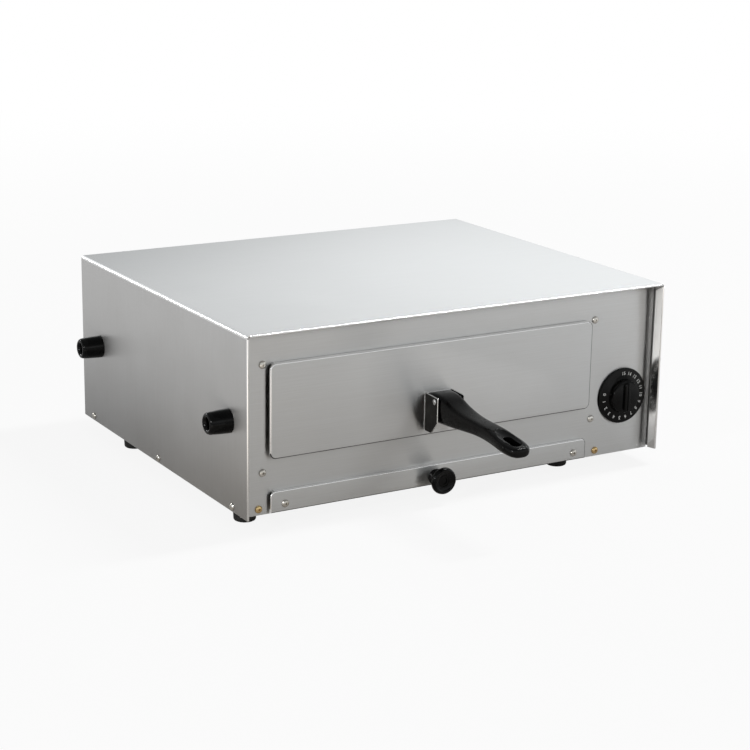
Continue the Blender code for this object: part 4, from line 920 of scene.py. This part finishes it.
# Timer dial: a black bakelite skirt with printed minutes, a raised boss and a grip bar with a pointer line.
# The skirt and boss are turned in one, the bar moulded on, the figures pad printed in white.
skirt = turned(
    [
        (0, 0.7),
        (28.1, 0.7),
        (28.7, 0.9),
        (28.9, 1.3),
        (28.8, 1.8),
        (28.3, 2.2),
        (27.5, 2.4),
        (18.6, 2.5),
        (17.8, 2.8),
        (17.3, 3.8),
        (16.9, 7.4),
        (16.3, 8.5),
        (15.2, 8.9),
        (0, 9.0),
    ],
    96,
)
bar = block((7.6, 30, 6.4), (0, 0, 8.4))
bar_crown = [vert for vert in bar.verts if vert.co.z > 10]
bmesh.ops.scale(bar, vec=(0.86, 0.97, 1), verts=bar_crown)
bar_uprights = [side for side in bar.edges if abs(side.verts[0].co.z - side.verts[1].co.z) > 5]
round_edges(bar, bar_uprights, 2.6, 6)
crown = max(bar.faces, key=lambda face: face.calc_center_median().z)
round_edges(bar, list(crown.edges), 0.7, 3)
groove = block((1.1, 40, 1.2), (0, 0, 11.6))
bar = carved(bar, groove)
dial_spot = (197, PANEL_FACE, 58.8)
dial = set_down(gathered([skirt, bar]), dial_spot, FACE_FRONT)
add_piece("dial_knob", dial, "timer_dial", [bakelite], ["timer_knob"], 0.3, 2, 38)
print_white, place = new_finish("print_white", Specular_IOR_Level=0.3)
worn = grain(place, (2200, 2200, 2200), 3.0)
feed(
    print_white,
    Base_Color=worn.spread(0.35, 0.6).tint((0.6, 0.6, 0.58), (0.82, 0.82, 0.8)),
    Roughness=worn * 0.2 + 0.45,
)
figures = []
minutes, full_turn = 15, math.radians(280)
figure_spot = (0, 23.1, 2.47)
for minute in range(minutes + 1):
    figure = bpy.data.curves.new("figure", "FONT")
    figure.body = str(minutes - minute)
    figure.size = 4.9
    figure.offset = 0.06
    figure.resolution_u = 6
    figure.align_x = "CENTER"
    figure.align_y = "CENTER"
    figure.extrude = 0.03
    holder = bpy.data.objects.new("figure", figure)
    bpy.context.scene.collection.objects.link(holder)
    made = bpy.data.meshes.new_from_object(holder.evaluated_get(bpy.context.evaluated_depsgraph_get()))
    shape = bmesh.new()
    shape.from_mesh(made)
    bpy.data.objects.remove(holder)
    bpy.data.curves.remove(figure)
    bpy.data.meshes.remove(made)
    bmesh.ops.remove_doubles(shape, verts=shape.verts, dist=0.0005)
    bmesh.ops.translate(shape, vec=figure_spot, verts=shape.verts)
    turn = Matrix.Rotation(-full_turn * minute / minutes, 3, "Z")
    bmesh.ops.rotate(shape, cent=(0, 0, 0), matrix=turn, verts=shape.verts)
    figures.append(shape)
printing = set_down(gathered(figures), dial_spot, FACE_FRONT)
add_piece("dial_figures", printing, "timer_dial", [print_white], [])
shaft = set_down(turned([(0, -11.3), (2.6, -11.3), (3, -10.9), (3, 8), (0, 8)], 32), dial_spot, FACE_FRONT)
add_piece("dial_shaft", shaft, "timer_dial", [nickel], ["timer_shaft"])

# Floor: wide, pale and plain, near white to the camera, with a plain part that takes the oven's shadow.
# In the oven's metal it glows with a painted shade close by that stands in for the oven's shadow, a painted
# warm reflection before the front and a painted bright patch at the front left corner.
floor_reach = 12.0
floor_form = bmesh.new()
bmesh.ops.create_grid(floor_form, x_segments=1, y_segments=1, size=floor_reach)
floor_mesh = bpy.data.meshes.new("floor")
floor_form.to_mesh(floor_mesh)
floor_form.free()
floor = bpy.data.objects.new("floor", floor_mesh)
bpy.context.scene.collection.objects.link(floor)
floor_paint = bpy.data.materials.new("floor_paint")
floor_paint.use_nodes = True
floor_tree = floor_paint.node_tree
floor_tree.nodes.clear()
path_rays = floor_tree.nodes.new("ShaderNodeLightPath")
seen = Signal(floor_tree, path_rays.outputs["Is Camera Ray"])
mirrored = Signal(floor_tree, path_rays.outputs["Is Glossy Ray"])
through = Signal(floor_tree, path_rays.outputs["Is Transmission Ray"])
floor_place = Signal(floor_tree, floor_tree.nodes.new("ShaderNodeTexCoord").outputs["Object"])
along_x = floor_place.node("ShaderNodeSeparateXYZ", {}, {"Vector": floor_place}, 0)
along_y = floor_place.node("ShaderNodeSeparateXYZ", {}, {"Vector": floor_place}, 1)


def distance(from_x, from_y):
    """How far apart two lengths at right angles reach, on the floor."""
    return from_x.reckon("SQRT", from_x * from_x + from_y * from_y, 0)


half_width, half_depth, middle_y = 0.235, 0.19, 0.06
beside = along_x.reckon("ABSOLUTE", along_x, 0)
beside = beside.reckon("MAXIMUM", beside - half_width, 0)
before = along_y.reckon("ABSOLUTE", along_y - middle_y, 0)
before = before.reckon("MAXIMUM", before - half_depth, 0)
away = distance(beside, before)
plain_paint = seen.node("ShaderNodeBsdfDiffuse", {}, {"Color": (0.82, 0.82, 0.82, 1)})
# Painted light and shade seen only in the metal: a bright corner patch, dimming near the oven, a warm patch
# in front.
painted_corner_light = distance(along_x + 0.62, along_y + 0.42).spread(0.12, 0.42, 1.3, 0.0)
painted_reflection_level = away.spread(0.0, 0.75, 0.34, 1.04) * along_x.spread(0.15, 0.65, 0.97, 1.26) + painted_corner_light
painted_warm_reflection = mirrored * distance(along_x + 0.25, along_y + 0.4).spread(0.25, 0.75, 1.0, 0.0)
glow_colour = painted_warm_reflection.tint((1, 1, 1), (1, 0.925, 0.83))
glow = seen + through + mirrored * painted_reflection_level
glow_colour = glow.node("ShaderNodeVectorMath", {"operation": "SCALE"}, {0: glow_colour, "Scale": glow})
white_paint = seen.node("ShaderNodeEmission", {}, {"Color": glow_colour, "Strength": 1.0})
share = seen * away.spread(0.1, 2.4, 0.88, 1.0) + mirrored * 0.7 + through * 0.85
mixed_paint = seen.node("ShaderNodeMixShader", {}, {0: share, 1: plain_paint, 2: white_paint})
floor_output = floor_tree.nodes.new("ShaderNodeOutputMaterial")
floor_tree.links.new(mixed_paint.socket, floor_output.inputs["Surface"])
floor_mesh.materials.append(floor_paint)

# Room: white to the camera; in the oven's metal brighter at the right rear, with a dim patch behind.
# It pales with height and dims again overhead, and gives a low even light from all round.
world = bpy.data.worlds.new("studio")
bpy.context.scene.world = world
world.use_nodes = True
world_tree = world.node_tree
world_tree.nodes.clear()
world_rays = world_tree.nodes.new("ShaderNodeLightPath")
sky_spot = world_tree.nodes.new("ShaderNodeTexCoord")
toward = Signal(world_tree, sky_spot.outputs["Generated"])
camera_ray = Signal(world_tree, world_rays.outputs["Is Camera Ray"])
glossy_ray = Signal(world_tree, world_rays.outputs["Is Glossy Ray"])
passing_ray = Signal(world_tree, world_rays.outputs["Is Transmission Ray"])


def nearness(direction):
    """How near the way that a ray goes is to a direction, up to 1 where they are the same."""
    sockets = {0: toward, 1: Vector(direction).normalized()}
    return toward.node("ShaderNodeVectorMath", {"operation": "DOT_PRODUCT"}, sockets, 1)


height = toward.node("ShaderNodeSeparateXYZ", {}, {"Vector": toward}, 2)
rising = height.spread(0.02, 0.36, 0.66, 1.36) * height.spread(0.4, 0.56, 1.0, 0.32)
rear_right = nearness((0.84, 0.52, 0.15)).spread(0.68, 0.97) * 0.46 + 0.82
behind = nearness((0.2, 0.97, -0.05)).spread(0.9, 0.975, 1.0, 0.16)
room = rear_right * rising * behind
white = camera_ray + passing_ray
strength = white + glossy_ray * room + (1 - white - glossy_ray) * 0.28
sky = glossy_ray.tint((1, 1, 1), (0.965, 0.99, 1.0))
backdrop = strength.node("ShaderNodeBackground", {}, {"Color": sky, "Strength": strength})
world_output = world_tree.nodes.new("ShaderNodeOutputWorld")
world_tree.links.new(backdrop.socket, world_output.inputs["Surface"])


# Lamps: three soft boxes, one above at the right, one behind at the left and one beside at the left.
# They draw the bright lines along the folds, the plates' top edges and the handle.
def add_softbox(name, spot, size, glow):
    """A lamp of a width and height in metres that faces the oven, with an even glow all over."""
    lamp = bpy.data.lights.new(name, "AREA")
    lamp.shape = "RECTANGLE"
    lamp.size, lamp.size_y = size
    lamp.energy = glow * math.pi * size[0] * size[1]
    stand = bpy.data.objects.new(name, lamp)
    facing = Vector(spot).to_track_quat("Z", "Y").to_matrix().to_4x4()
    stand.matrix_world = Matrix.Translation(spot) @ facing
    bpy.context.scene.collection.objects.link(stand)


add_softbox("overhead_box", (1.22, -0.1, 2.1), (0.2, 1.0), 50.0)
add_softbox("rear_left_box", (-1.0, 1.96, 0.8), (0.42, 0.2), 22.0)
add_softbox("left_box", (-2.1, -0.9, 0.8), (0.3, 0.3), 55.0)

# Camera: set where the photograph was taken from, a little above and to the left of the oven.
# A long lens that looks down on it, with a slight roll.
azimuth, down, roll = math.radians(30.809), math.radians(15.498), math.radians(0.958)
camera_spot = (-0.97791, -1.59680, 0.61119)
level_share = math.cos(down)
forward = Vector((math.sin(azimuth) * level_share, math.cos(azimuth) * level_share, -math.sin(down)))
right = Vector((math.cos(azimuth), -math.sin(azimuth), 0))
upward = right.cross(forward)
right_rolled = right * math.cos(roll) + upward * math.sin(roll)
up_rolled = upward * math.cos(roll) - right * math.sin(roll)
lens = bpy.data.cameras.new("camera")
lens.sensor_fit = "HORIZONTAL"
lens.sensor_width = 36.0
lens.lens = 92.08
lens.clip_end = 60.0
camera = bpy.data.objects.new("camera", lens)
standing = Matrix((right_rolled, up_rolled, -forward)).transposed().to_4x4()
camera.matrix_world = Matrix.Translation(camera_spot) @ standing
bpy.context.scene.collection.objects.link(camera)
bpy.context.scene.camera = camera
bpy.context.scene.view_settings.view_transform = "Standard"
